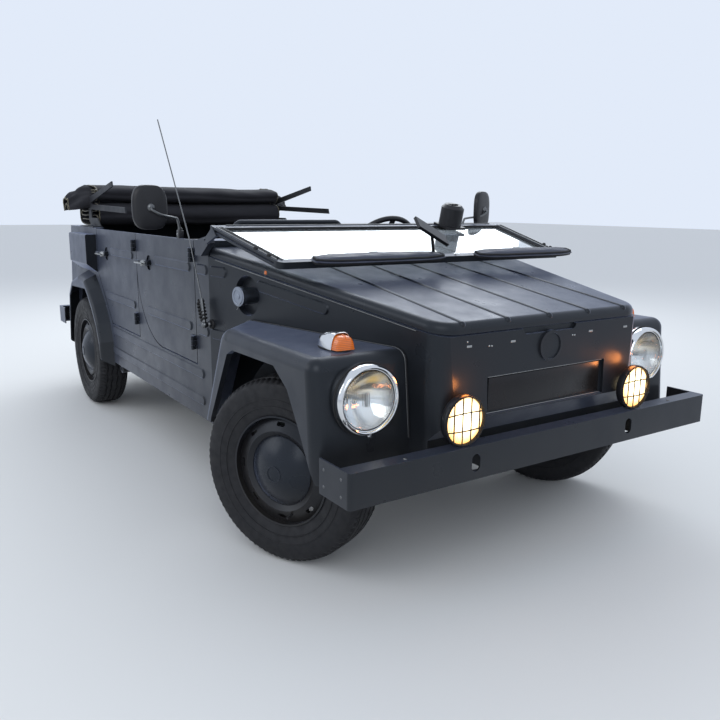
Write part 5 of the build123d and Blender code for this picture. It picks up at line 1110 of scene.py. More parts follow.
class CAR_OT_signal_lamps(bpy.types.Operator):
    """Build the turn lamps on the front fenders and the tail lamps."""

    bl_idname = "car.signal_lamps"
    bl_label = "Turn and tail lamps"

    def execute(self, context):
        for side, sign in SIDES.items():
            centre = on_side(TURN_LAMP, sign)
            self.turn_lamp_hood(side, centre)
            self.turn_lamp_lens(side, centre)
            self.turn_lamp_seal(side, centre)
            self.tail_lamp(side, sign)
        return {"FINISHED"}

    def turn_lamp_hood(self, side, centre):
        """A bright hood that grows from a blunt tail, with a rolled lip in front."""
        rows = []
        for along in HOOD_PLACES:
            share = min(1, (along - HOOD_REAR) / HOOD_LENGTH)
            grown = sqrt(1 - (1 - share) ** 2)
            half, height = HOOD_HALF * grown + 0.001, HOOD_HEIGHT * grown + 0.001
            rows.append(hood_section(centre, along, half, height, 0.004))
        form = Form().grid(rows, "chrome")
        form.tube(rows[-1], 0.0017, "chrome", 8)
        form.piece(f"turn_lamp_hood_{side}", replaces=("signal_lamps",))

    def turn_lamp_lens(self, side, centre):
        """An amber lens with a ridge along its top and a blunt front."""
        lens = [hood_section(centre, along, half, height, 0.005) for along, half, height in TURN_LENS]
        form = Form().grid(lens, "amber lens")
        tip = centre + Vector((0.0732, 0, 0.005))
        form.grid([lens[-1], [tip] * len(lens[-1])], "amber lens")
        ridge = [row[HOOD_STEPS // 2] + Vector((0.0012, 0, 0.0008)) for row in lens[1:]]
        form.tube(ridge, 0.0016, "amber lens", 8)
        form.piece(f"turn_lamp_lens_{side}")

    def turn_lamp_seal(self, side, centre):
        """A rubber pad under the lamp, narrower behind."""
        rim = []
        for turn in turns_round(36):
            wide = 0.0355 * (1 - 0.35 * max(0, -cos(turn)) ** 2)
            rim.append(centre + Vector((0.0735 * cos(turn), wide * sin(turn), 0.0026)))
        form = Form().tube(rim, 0.0028, "soft rubber", 8, closed=True)
        rows = [[spot.lerp(centre, share) + UP * 0.0012 for spot in rim] for share in (0, 0.5, 0.97)]
        form.grid(rows, "soft rubber", close_columns=True)
        form.piece(f"turn_lamp_seal_{side}")

    def tail_lamp(self, side, sign):
        """A dark tray with an amber lens over a red one."""
        turn = frame_of(TAIL_DOWN, TAIL_BACK)
        middle = on_side(TAIL_LAMP, sign) - TAIL_BACK * 0.001
        form = Form()
        form.block(middle - TAIL_BACK * 0.004, (0.140, 0.0695, 0.018), "grained plastic", turn, 0.004, 3)
        form.piece(f"tail_lamp_tray_{side}")
        for name, (finish, along, length) in TAIL_LENSES.items():
            place = Matrix.Translation(middle + TAIL_DOWN * along + TAIL_BACK * 0.0105) @ turn
            rows = []
            for out, inset in TAIL_LENS_LEVELS:
                half_x = length / 2 - inset
                half_y = TAIL_LENS_HALF - inset
                row = []
                for k in range(32):
                    angle = 2 * pi * (k + 0.5) / 32
                    x = half_x * max(-1, min(1, TAIL_LENS_SQUARENESS * cos(angle)))
                    y = half_y * max(-1, min(1, TAIL_LENS_SQUARENESS * sin(angle)))
                    row.append(place @ Vector((x, y, out)))
                rows.append(row)
            form = Form().grid(rows, finish, close_columns=True, caps=(False, True))
            form.piece(f"tail_lamp_{name}_{side}")


# The front seats and the rear bench: middles, half sizes along and across, and how far the backs lean
SEAT_Y = 0.338
CUSHION_MIDDLE = (0.135, 0.5535)
CUSHION_HALF = (0.232, 0.211)
BACK_FOOT = (-0.110, 0.565)
BACK_HALF = (0.218, 0.209)
BACK_LEAN = radians(16)
BENCH_MIDDLE = (-0.735, 0.5235)
BENCH_HALF = (0.163, 0.516)
BENCH_BACK_FOOT = (-0.878, 0.580)
BENCH_BACK_HALF = (0.190, 0.516)
BENCH_LEAN = radians(8)


class CAR_OT_seats(bpy.types.Operator):
    """Sew the front seats and the rear bench: crowned cushions with channels and piping."""

    bl_idname = "car.seats"
    bl_label = "Seats"

    def execute(self, context):
        sizes = context.scene.car_sizes
        crown, channels = sizes.seat_crown, sizes.seat_channels
        cushion = Pad(CUSHION_HALF, 0.098, crown, channels, sag=0.012)
        back = Pad(BACK_HALF, 0.082, crown, channels, roll=0.026, pull=0.03, sag=0.008)
        for side, sign in SIDES.items():
            y = sign * SEAT_Y
            self.lying(cushion, CUSHION_MIDDLE, y, f"seat_cushion_{side}", "front_seats")
            self.leaning(back, BACK_FOOT, y, BACK_LEAN, 0.238, f"seat_back_{side}", "front_seats")
        bench = Pad(BENCH_HALF, 0.094, 0.014, 4, sag=0.006)
        self.lying(bench, BENCH_MIDDLE, 0, "bench_cushion", "rear_seat")
        bench_back = Pad(BENCH_BACK_HALF, 0.072, 0.012, 5, roll=0.024)
        self.leaning(bench_back, BENCH_BACK_FOOT, 0, BENCH_LEAN, 0.206, "bench_back", "rear_seat")
        return {"FINISHED"}

    def lying(self, pad, middle, y, name, node):
        """A seat cushion, level on its frame."""
        form = pad.sewn(Vector((middle[0], y, middle[1])), Matrix(), "vinyl", "vinyl")
        form.piece(name, replaces=(node,), angle=SOFT_ANGLE)

    def leaning(self, pad, foot, y, lean, rise, name, node):
        """A seat back, which leans from its foot; rise is how far up its middle is."""
        up = Vector((-sin(lean), 0, cos(lean)))
        front = Vector((cos(lean), 0, sin(lean)))
        form = pad.sewn(Vector((foot[0], y, foot[1])) + up * rise, frame_of(up, front), "vinyl", "vinyl")
        form.piece(name, replaces=(node,), angle=SOFT_ANGLE)


# The sun visors on the folded windshield: their lowest and highest Y, and where their middle lies
VISOR_ENDS = {"right": (-0.557, 0.007), "left": (0.163, 0.695)}
VISOR_MIDDLE = (1.2845, 1.0071)
VISOR_HALF = 0.0290
VISOR_END_GAP = 0.013


class CAR_OT_visors(bpy.types.Operator):
    """Sew the padded sun visors over their boards."""

    bl_idname = "car.visors"
    bl_label = "Sun visors"

    def execute(self, context):
        turn = frame_of(WINDSHIELD_SLOPE, WINDSHIELD_NORMAL)
        for side, (low, high) in VISOR_ENDS.items():
            half = (VISOR_HALF, (high - low) / 2 - VISOR_END_GAP)
            pad = Pad(half, 0.014, 0.0085, roll=0.0065, pull=0.0, taper=0.45)
            middle = Vector((VISOR_MIDDLE[0], (low + high) / 2, VISOR_MIDDLE[1]))
            form = pad.sewn(middle, turn, "visor cloth", "soft rubber")
            visor = form.piece(f"sun_visor_{side}", "windshield", replaces=("sun_visors",), angle=radians(60))
        return {"FINISHED"}


# The folded top lies between its irons. Each roll is folded layers and a wrap round them, as X and Z
TOP_HALF = 0.598
TOP_STATIONS = 44
UPPER_WRAP = ((-1.600, 1.268), (-1.612, 1.258), (-1.618, 1.238), (-1.612, 1.218), (-1.590, 1.2065),
              (-1.500, 1.2035), (-1.400, 1.2025), (-1.300, 1.2035), (-1.225, 1.2055), (-1.196, 1.213),
              (-1.1805, 1.232), (-1.184, 1.254), (-1.205, 1.2720), (-1.265, 1.285), (-1.340, 1.2915),
              (-1.420, 1.2930), (-1.500, 1.2905), (-1.570, 1.284), (-1.615, 1.277))
LOWER_WRAP = ((-1.598, 1.174), (-1.618, 1.160), (-1.624, 1.125), (-1.616, 1.088), (-1.590, 1.066),
              (-1.500, 1.0565), (-1.400, 1.0545), (-1.300, 1.0555), (-1.215, 1.0605), (-1.178, 1.078),
              (-1.160, 1.108), (-1.163, 1.140), (-1.182, 1.168), (-1.225, 1.186), (-1.320, 1.1905),
              (-1.420, 1.1910), (-1.520, 1.1895), (-1.590, 1.184))
# Each flap outside the irons hangs round a core, from its inner end outward
FLAP_OUTLINE = ((-1.262, 1.160), (-1.250, 1.190), (-1.262, 1.222), (-1.300, 1.252), (-1.345, 1.280),
                (-1.392, 1.294), (-1.435, 1.284), (-1.470, 1.250), (-1.498, 1.206), (-1.512, 1.166),
                (-1.480, 1.158), (-1.440, 1.182), (-1.400, 1.215), (-1.370, 1.240), (-1.335, 1.226),
                (-1.305, 1.196), (-1.290, 1.168))
FLAP_CORE = Vector((-1.385, 0, 1.190))
FLAP_INNER, FLAP_WIDTH = 0.575, 0.160
FLAP_TOP = 1.298


def upright(outline):
    """The points of an outline given as X and Z."""
    return [Vector((x, 0, z)) for x, z in outline]


def folded_layers(front, back, low, high, count):
    """A path, as X and Z, that folds to and fro between two X places, layer over layer from low to high."""
    path = []
    gap = (high - low) / (count - 1)
    for layer in range(count):
        z = low + gap * layer
        start, end = (front, back) if layer % 2 else (back, front)
        run = [between(start, end, share) for share in (0.04, 0.2, 0.4, 0.6, 0.8, 0.96)]
        path += [(x, z + 0.002 * sin(x * 40 + layer)) for x in run]
        if layer < count - 1:
            out = 1 if end == front else -1
            inset = 0.010 * ((layer * 7) % 3)
            bend = end + out * (0.012 - inset)
            path += [(bend, z + gap * 0.25), (bend + out * 0.004, z + gap * 0.5), (bend, z + gap * 0.75)]
    return path


class ClothRoll:
    """One roll of the folded top: its path, its lowest and highest Z, and how its cloth has settled."""

    crease_depth = 0.010
    crease_half = 0.010
    crease_limit = -1.25

    def __init__(self, path, low, high, sag, seed):
        self.path = smooth_path(upright(path), 3)
        self.low = low
        self.high = high
        self.sag = sag
        self.seed = seed

    def settled(self, spot, y):
        """Where a point of the path lies at a place across the car."""
        long_wave = noise.noise(Vector((spot.x * 3, y * 2.1 + self.seed, spot.z * 9)))
        wave = noise.noise(Vector((spot.x * 6, y * 5.2, spot.z * 12 + self.seed)))
        fold = noise.noise(Vector((spot.x * 13, y * 12 + spot.z * 30, self.seed * 2)))
        share = min(1, max(0, (spot.z - self.low) / (self.high - self.low)))
        hang = self.sag * max(0, 1 - (y / TOP_HALF) ** 2) ** 0.8
        x = spot.x + 0.016 * long_wave + 0.008 * wave + 0.004 * fold
        if spot.x > self.crease_limit:
            middle = between(self.low, self.high, 0.36 + 0.22 * long_wave)
            x -= self.crease_depth * exp(-((spot.z - middle) / self.crease_half) ** 2)
        z = spot.z - hang * (1 - 0.55 * share) + (0.009 * long_wave + 0.005 * wave) * share + 0.003 * fold
        return Vector((x, y, z))

    def rows(self, stations):
        """The cloth's points, row by row along its path."""
        return [[self.settled(spot, y) for y in stations] for spot in self.path]


class CAR_OT_folded_top(bpy.types.Operator):
    """Fold the canvas top into its two rolls, with the loose flaps at both ends."""

    bl_idname = "car.folded_top"
    bl_label = "Folded top"

    def execute(self, context):
        sizes = context.scene.car_sizes
        layers = sizes.canvas_layers
        upper = [*folded_layers(-1.225, -1.575, 1.222, 1.262, layers), *UPPER_WRAP]
        lower = [*folded_layers(-1.215, -1.580, 1.088, 1.166, layers), *LOWER_WRAP]
        rolls = {"upper": ClothRoll(upper, 1.202, 1.293, 0.010, 1.7),
                 "lower": ClothRoll(lower, 1.054, 1.191, 0.0, 5.1)}
        stations = [TOP_HALF * share for share in shares(TOP_STATIONS)]
        for name, roll in rolls.items():
            form = ribbon(roll.rows(stations), sizes.canvas_sheet, "canvas", "binding")
            made = form.piece(f"top_{name}_roll", replaces=("soft_top",), angle=CLOTH_ANGLE)
        for side, sign in SIDES.items():
            self.flap(side, sign, sizes.canvas_sheet)
        return {"FINISHED"}

    def flap(self, side, sign, thick):
        """The loose crumpled end of the top outside its irons."""
        outline = smooth_path(upright(FLAP_OUTLINE), 4)
        rows = []
        for spot in outline:
            row = []
            for share in steps_between(0, 1, 15):
                out = FLAP_INNER + FLAP_WIDTH * share
                crumple = noise.noise(Vector((spot.x * 16, out * 14 * sign, spot.z * 16)))
                fine = noise.noise(Vector((spot.x * 34 + 3, out * 30, spot.z * 34)))
                place = FLAP_CORE + (spot - FLAP_CORE) * (1 - 0.42 * share ** 1.6) - UP * 0.030 * share ** 2
                place += (spot - FLAP_CORE).normalized() * (0.020 * crumple * (0.4 + share) + 0.007 * fine)
                out += 0.006 * crumple * (share < 0.95)
                row.append(Vector((place.x, sign * out, min(place.z, FLAP_TOP))))
            rows.append(row)
        form = ribbon(rows, thick, "canvas", "binding")
        made = form.piece(f"top_flap_{side}", replaces=("soft_top",), angle=radians(75))


# The windshield's frame: its length down the slope, half widths at both ends, and how wide its tube is
WINDSHIELD_LENGTH = 0.45209
WINDSHIELD_REAR_HALF = 0.719
WINDSHIELD_FRONT_HALF = 0.665
WINDSHIELD_TUBE = 0.032


def on_windshield(x, y, z):
    """A point x down the folded windshield's slope, y across it and z above its upper face."""
    return WINDSHIELD_ORIGIN + WINDSHIELD_SLOPE * x + LEFT * y + WINDSHIELD_NORMAL * z


def windshield_half(x):
    """Half the windshield's width at a place down its slope."""
    return between(WINDSHIELD_REAR_HALF, WINDSHIELD_FRONT_HALF, x / WINDSHIELD_LENGTH)


class CAR_OT_windshield(bpy.types.Operator):
    """Fit the folded windshield's seal, edge rubber, buffers, rails and wiper motor screws."""

    bl_idname = "car.windshield"
    bl_label = "Windshield fittings"

    def execute(self, context):
        self.seal(context.scene.car_sizes.seal_radius)
        self.edge_rubber()
        self.buffers()
        self.rails()
        self.motor_screws()
        return {"FINISHED"}

    def seal(self, radius):
        """A round rubber between the frame's tubes and the glass."""
        ends = (WINDSHIELD_TUBE, WINDSHIELD_LENGTH - WINDSHIELD_TUBE)
        halves = [windshield_half(x) - WINDSHIELD_TUBE for x in ends]
        corners = [(ends[0], -halves[0]), (ends[1], -halves[1]), (ends[1], halves[1]), (ends[0], halves[0])]
        line = [on_windshield(x, y, -0.0062) for x, y in rounded_loop(corners, 0.022)]
        form = Form().tube(line, radius, "soft rubber", 8, closed=True)
        form.piece("windshield_seal", "windshield")

    def edge_rubber(self):
        """Ribbed rubber along both side tubes, for the doors' side screens."""
        turn = frame_of(WINDSHIELD_SLOPE, WINDSHIELD_NORMAL)
        form = Form()
        for sign in (-1, 1):
            for x in steps_between(0.045, 0.405, 26):
                spot = on_windshield(x, sign * (windshield_half(x) - 0.017), 0.0022)
                form.block(spot, (0.0085, 0.020, 0.0052), "soft rubber", turn, 0.0012, 1)
        form.piece("windshield_edge_rubber", "windshield")

    def buffers(self):
        """The rubber buttons on the side tubes and the bolts on the front one."""
        form = Form()
        for x, y in ((0.380, -0.668), (0.300, -0.679), (0.350, 0.672), (0.395, 0.664)):
            spot = on_windshield(x, y, 0.002)
            form.dome(spot, WINDSHIELD_NORMAL, 0.0085, 0.008, "soft rubber", 16, 5, 0.002)
        for y in (-0.45, 0.10, 0.60):
            form.bolt(on_windshield(0.435, y, 0.0005), WINDSHIELD_NORMAL, 0.0042, "handle metal")
        form.piece("windshield_buffers", "windshield")

    def rails(self):
        """The thin rails that hold the edge rubber, and the one along the rear tube."""
        form = Form()
        for sign in (-1, 1):
            for inset in (0.008, 0.027):
                line = [on_windshield(x, sign * (windshield_half(x) - inset), 0.0016)
                        for x in (0.030, 0.150, 0.290, 0.425)]
                form.tube(line, 0.0026, "dark steel", 8)
        form.tube([on_windshield(0.006, y, 0.0012) for y in (-0.66, 0.0, 0.66)], 0.0022, "dark steel", 8)
        form.piece("windshield_rails", "windshield")

    def motor_screws(self):
        """A lid on the wiper motor's housing with four screws."""
        skin = Skin("windshield_fittings")
        crown = skin.hit((0.883, 0.380, 1.2045), DOWN)
        form = Form().dome(crown - UP * 0.0015, UP, 0.030, 0.0015, "grained plastic", 32, 4)
        for turn in turns_round(4):
            angle = turn + pi / 4
            above = crown + Vector((0.026 * cos(angle), 0.026 * sin(angle), 0.03))
            form.dome(skin.hit(above, DOWN) - UP * 0.001, UP, 0.0032, 0.0022, "handle metal", 12, 3)
        form.piece("wiper_motor_screws", "windshield")


class OutsideMirror:
    """An outside mirror: the body that it rides on, its middle, how far it is turned in, and its clamp."""

    # Half the shell's width and height, and how square its outline is
    half = (0.073, 0.0905)
    power = 3.2
    # The shell's and the glass's outlines: share of the full size, and how far back they lie
    shell = ((0.02, 0.0100), (0.93, 0.0105), (0.955, 0.0118), (0.985, 0.0112), (1.0, 0.0075),
             (0.998, 0.0010), (0.975, -0.0050), (0.92, -0.0088), (0.80, -0.0112), (0.55, -0.0130),
             (0.25, -0.0138), (0.02, -0.0140))
    glass = ((0.932, 0.0098), (0.930, 0.0112), (0.90, 0.0118), (0.5, 0.0120), (0.02, 0.0120))

    def __init__(self, side, body, middle, turn, clamp):
        self.side = side
        self.sign = SIDES[side]
        self.body = body
        self.middle = Vector(middle)
        self.clamp = Vector(clamp)
        self.back = Vector((-cos(turn), -self.sign * sin(turn), 0))
        self.across = UP.cross(self.back)

    def outline(self, size, out):
        """A squarish oval, some share of the full size, at a distance towards the back."""
        line = []
        for turn in turns_round(64):
            x = copysign(abs(cos(turn)) ** (2 / self.power), cos(turn)) * self.half[0] * size
            y = copysign(abs(sin(turn)) ** (2 / self.power), sin(turn)) * self.half[1] * size
            line.append(self.middle + self.across * x + UP * y + self.back * out)
        return line

    def build(self):
        """Make the shell, the glass, the arm and the clamp."""
        rows = [self.outline(*level) for level in self.shell]
        form = Form().grid(rows, "grained plastic", close_columns=True)
        form.piece(f"mirror_shell_{self.side}", self.body, replaces=(f"mirror_{self.side}",))
        rows = [self.outline(*level) for level in self.glass]
        form = Form().grid(rows, "mirror", close_columns=True)
        form.piece(f"mirror_glass_{self.side}", self.body)
        hub = self.middle - self.back * 0.0135
        form = Form().dome(hub, -self.back, 0.0165, 0.009, "dark steel", 28, 6)
        behind = hub - self.back * 0.012
        knee = self.clamp + Vector((0.010, self.sign * 0.012, 0.058))
        line = [hub - self.back * 0.004, behind - UP * 0.010,
                behind - Vector((0, self.sign * 0.040, 0.030)),
                knee + Vector((0.004, self.sign * 0.018, 0.010)), knee, self.clamp]
        form.tube(smooth_path(line), 0.0052, "dark steel", 12)
        form.piece(f"mirror_arm_{self.side}", self.body)
        form = Form().block(self.clamp, (0.030, 0.022, 0.034), "grained plastic", bevel=0.003)
        collar = [(0.0095, 0), (0.0090, 0.009), (0.0065, 0.011), (0, 0.011)]
        form.turned(self.clamp + UP * 0.016, UP, collar, "grained plastic", 20)
        out = LEFT * self.sign
        form.bolt(self.clamp + out * 0.0108, out, 0.0042, "handle metal")
        form.piece(f"mirror_clamp_{self.side}", self.body)


class CAR_OT_mirrors(bpy.types.Operator):
    """Build the outside mirrors with their glass, arms and clamps."""

    bl_idname = "car.mirrors"
    bl_label = "Mirrors"

    def execute(self, context):
        right = OutsideMirror("right", "front_door_right", (0.375, -0.795, 1.172), 0, (0.366, -0.668, 1.062))
        left = OutsideMirror("left", "body", (0.629, 0.796, 1.172), radians(22), (0.618, 0.668, 1.064))
        right.build()
        left.build()
        return {"FINISHED"}


# The antenna leans back from its foot on the nose's right side
ANTENNA_BASE = beside_nose(0.700, 0.725, SIDES["right"])
ANTENNA_LEAN = radians(22)
ANTENNA_OUT = 0.035
SPRING_TURNS, SPRING_TURN_STEPS = 6.5, 18
SPRING_RADIUS, SPRING_WIRE = 0.0125, 0.0044
SPRING_START, SPRING_LENGTH = 0.014, 0.088
ANTENNA_FOOT = ((0, -0.001), (0.0185, -0.001), (0.0190, 0.003), (0.0165, 0.007), (0.0110, 0.009),
                (0.0095, 0.012), (0, 0.012))


class CAR_OT_antenna(bpy.types.Operator):
    """Wind the antenna's coil spring and add its rubber foot."""

    bl_idname = "car.antenna"
    bl_label = "Antenna spring"

    def execute(self, context):
        out = nose_outward(SIDES["right"])
        start = ANTENNA_BASE + out * ANTENNA_OUT
        up, first, second = axes_round((-sin(ANTENNA_LEAN), 0, cos(ANTENNA_LEAN)))
        line = []
        for share in steps_between(0, 1, int(SPRING_TURNS * SPRING_TURN_STEPS) + 1):
            radius = SPRING_RADIUS * min(1, 0.35 + 6 * share, 0.45 + 6 * (1 - share))
            angle = 2 * pi * SPRING_TURNS * share
            coil = (first * cos(angle) + second * sin(angle)) * radius
            line.append(start + up * (SPRING_START + SPRING_LENGTH * share) + coil)
        form = Form().tube(line, SPRING_WIRE, "soft rubber", 8)
        form.piece("antenna_spring")
        form = Form().turned(ANTENNA_BASE, out, ANTENNA_FOOT, "soft rubber", 28)
        form.piece("antenna_foot")
        return {"FINISHED"}


# Where lines that look for the car's surface start: beside it, above its nose, ahead of it and behind it
BESIDE, ABOVE, AHEAD, BEHIND = 0.95, 0.95, 1.95, -1.95
# The welt lies beside the nose on the fender's top, then goes over its corner and down its front, as X and Z
WELT_START, WELT_END = 0.90, 1.66
WELT_GAP = 0.0045
WELT_FRONT = ((1.6830, 0.7640), (1.6965, 0.7500), (1.7010, 0.7350), (1.7045, 0.7000),
              (1.7111, 0.6200), (1.7178, 0.5400), (1.7210, 0.5020))
TRIM_START, TRIM_END = 0.735, 1.735
TRIM_DROP = 0.0035
# Places on the front panel, as Y and Z
PANEL_CLIPS = ((-0.342, 0.787), (-0.164, 0.786), (0.193, 0.788), (0.372, 0.788))
PANEL_RIVETS = ((-0.349, 0.801), (-0.262, 0.781), (-0.252, 0.780), (0.105, 0.782), (0.115, 0.781))
PLATE_Z = 0.628
PLATE_SIZE = (0.0018, 0.510, 0.104)
PLATE_RAILS = (0.5715, 0.6845)
PLATE_RAIL_HALF = 0.262


class CAR_OT_welts(bpy.types.Operator):
    """Lay the welts beside the nose and the trims on its edges, and fit out the front panel."""

    bl_idname = "car.welts"
    bl_label = "Welts and front panel"

    def execute(self, context):
        fenders = Skin("front_fenders")
        nose = Skin("nose")
        for side, sign in SIDES.items():
            self.welt(side, sign, fenders)
            self.trim(side, sign, nose)
        panel = Skin("nose", "bonnet")
        self.panel_rivets(panel)
        self.blank_plate(panel)
        return {"FINISHED"}

    def welt(self, side, sign, fenders):
        """A rubber welt, with a thin steel strip along its outer edge standing in for the bright highlight line
        there.
        """
        line = []
        for x in steps_between(WELT_START, WELT_END, 38):
            line.append(fenders.hit(beside_nose(x, ABOVE, sign, WELT_GAP), DOWN) + UP * 0.0008)
        for x, z in WELT_FRONT:
            line.append(beside_nose(x, z, sign, WELT_GAP))
        line = smooth_path(line, 2)
        form = Form().tube(line, 0.0029, "soft rubber", 8)
        # The thin steel strip stands in for the bright highlight line along the welt's edge.
        edge = Vector((0.0004, sign * 0.0030, 0.0010))
        form.tube([spot + edge for spot in line], 0.0012, "dark steel", 6)
        form.piece(f"fender_welt_{side}")

    def trim(self, side, sign, nose):
        """A thin bright line just under the nose's upper edge."""
        line = []
        for x in steps_between(TRIM_START, TRIM_END, 30):
            z = nose_edge(x)[1] - TRIM_DROP
            line.append(nose.hit((x, sign * BESIDE, z), (0, -sign, 0)) + LEFT * sign * 0.0006)
        form = Form().tube(line, 0.0017, "dark steel", 8)
        form.piece(f"nose_edge_trim_{side}")

    def panel_rivets(self, panel):
        """The bonnet's pale clips and the panel's rivets."""
        form = Form()
        for y, z in PANEL_CLIPS:
            spot = panel.hit((AHEAD, y, z), -FORWARD) - FORWARD * 0.0005
            form.block(spot, (0.003, 0.020, 0.007), "handle metal", bevel=0.0012)
        for y, z in PANEL_RIVETS:
            spot = panel.hit((AHEAD, y, z), -FORWARD) - FORWARD * 0.0008
            form.dome(spot, FORWARD, 0.0034, 0.0030, "handle metal", 12, 3)
        form.piece("front_panel_rivets")

    def blank_plate(self, panel):
        """A bare plate in its recess, between two thin rails."""
        middle = panel.hit((AHEAD, 0, PLATE_Z), -FORWARD)
        form = Form().block(middle + FORWARD * 0.0014, PLATE_SIZE, "plate", bevel=0.0008)
        for z in PLATE_RAILS:
            line = [Vector((middle.x + 0.004, y, z)) for y in (-PLATE_RAIL_HALF, 0, PLATE_RAIL_HALF)]
            form.tube(line, 0.0014, "handle metal", 8)
        form.piece("blank_plate")


# The cabin: gauges as Y, Z and radius, knobs, pedals as Y and Z, and the mats' ends. Lines that look for the
# cowl start at COWL_START, and those that look for the floor at FLOOR_START
COWL_START, FLOOR_START = 0.20, 0.45
GAUGES = ((0.365, 0.985, 0.055), (0.235, 0.965, 0.028), (0.165, 0.965, 0.028))
KNOBS_Y, KNOBS_Z = (0.08, 0.12, 0.48, 0.52), 0.945
KNOB = ((0.009, 0), (0.009, 0.004), (0.006, 0.006), (0.005, 0.018), (0, 0.019))
PEDALS_X = 0.700
PEDALS = ((0.46, 0.44), (0.37, 0.44), (0.26, 0.40))
MAT_X, MAT_Y = (0.22, 0.60), (0.16, 0.52)
MAT_THICK, MAT_RIB = 0.005, 0.0012


class CAR_OT_cabin(bpy.types.Operator):
    """Fit out the cabin: gauges and knobs, floor mats and pedals."""

    bl_idname = "car.cabin"
    bl_label = "Cabin fittings"

    def execute(self, context):
        cowl = Skin("cowl")
        form = Form()
        for y, z, radius in GAUGES:
            self.gauge(form, cowl.hit((COWL_START, y, z), FORWARD), radius)
        for y in KNOBS_Y:
            form.turned(cowl.hit((COWL_START, y, KNOBS_Z), FORWARD), -FORWARD, KNOB, "dial face", 20)
        form.piece("gauges")
        self.mats()
        self.pedals()
        return {"FINISHED"}

    def gauge(self, form, middle, radius):
        """A dial in its rim, with plain marks and a pointer."""
        rim = [(radius, -0.002), (radius, 0.009), (radius - 0.003, 0.012), (radius - 0.007, 0.009),
               (radius - 0.008, 0.004), (0, 0.004)]
        form.turned(middle, -FORWARD, rim, "dial face", 40)
        for k in range(11):
            angle = radians(-40 + 26 * k)
            out = Vector((0, cos(angle), sin(angle))) * (radius - 0.0125)
            turn = Matrix.Rotation(angle, 4, "X")
            mark = middle + out - FORWARD * 0.0044
            form.block(mark, (0.0006, 0.0070, 0.0013), "pale print", turn, 0.0002, 1)
        pointer = middle - FORWARD * 0.0055 + LEFT * radius * 0.25
        turn = Matrix.Rotation(radians(20), 4, "X")
        form.block(pointer, (0.0008, radius * 0.9, 0.0016), "pale print", turn, 0.0003, 1)

    def mats(self):
        """Ribbed rubber mats that lie on the floor."""
        floor = Skin("floor_pan")
        form = Form()
        for sign in (-1, 1):
            rows = []
            for x in steps_between(*MAT_X, 25):
                row = []
                for j, y in enumerate(steps_between(*MAT_Y, 21)):
                    thick = MAT_THICK + MAT_RIB * (j % 2)
                    row.append(floor.hit((x, sign * y, FLOOR_START), DOWN) + UP * thick)
                rows.append(row)
            form.grid(rows, "soft rubber")
        form.piece("floor_mats")

    def pedals(self):
        """Rubber pads on bent arms."""
        form = Form()
        for y, z in PEDALS:
            face = Vector((PEDALS_X, y, z))
            tilt = Matrix.Rotation(radians(28), 4, "Y")
            form.block(face, (0.010, 0.055, 0.075), "soft rubber", tilt, 0.004)
            arm = [face + Vector((ahead, 0, -low))
                   for ahead, low in ((0.004, 0.02), (0.035, 0.05), (0.060, 0.095))]
            form.tube(smooth_path(arm, 4), 0.006, "chassis paint", 10)
        form.piece("pedals", slot="chassis_paint")


# The fuel filler beside the nose, its chain, and the marker lamp beside the bonnet
FILLER = beside_nose(0.930, 0.858, SIDES["right"])
CHAIN_START = Vector((0.952, -0.668, 0.838))
CHAIN_LINKS = 14
MARKER = Vector((1.0392, -0.6052, 0.9506))
MARKER_OUT = Vector((0.21, -0.98, 0.06))
# The door levers: the doors' outer Y, the levers' height, their bosses' X, and a lever's line from its tip
DOOR_Y, HANDLE_Z = 0.7075, 0.912
BOSS_X = {"front": -0.062, "rear": -0.777}
LEVER_LINE = ((-0.096, 0.0), (-0.080, 0.0055), (-0.055, 0.0065), (-0.030, 0.0062), (0.000, 0.0050),
              (0.020, 0.0030))
LEVER_RADIUS = 0.0095
LEVER_BOSS = ((0.0145, -0.034), (0.0145, -0.003), (0.0125, 0.001), (0, 0.0015))
LEVER_LOCK = ((0.0058, 0), (0.0058, 0.0032), (0.0046, 0.0042), (0, 0.0042))
# The front bumper's end bolts, as X and Z, the bolt on its top, as X and Y, and a bracket behind its slots
END_BOLTS = ((1.760, 0.475), (1.760, 0.425), (1.850, 0.475), (1.850, 0.425))
TOP_BOLT = (1.870, 0.60)
SLOT_BRACKET = (1.862, 0.400, 0.452)
# The way out from the engine lid, and its fittings' heights
LID_OUT = Vector((-0.98, 0, 0.196))
LID_HANDLE_Z, LID_BUFFER_Z, NUMBER_LAMP_Z = 0.545, 0.800, 0.765
LID_HANDLE = ((0.024, -0.002), (0.024, 0.003), (0.020, 0.006), (0.010, 0.008), (0.009, 0.020), (0, 0.020))


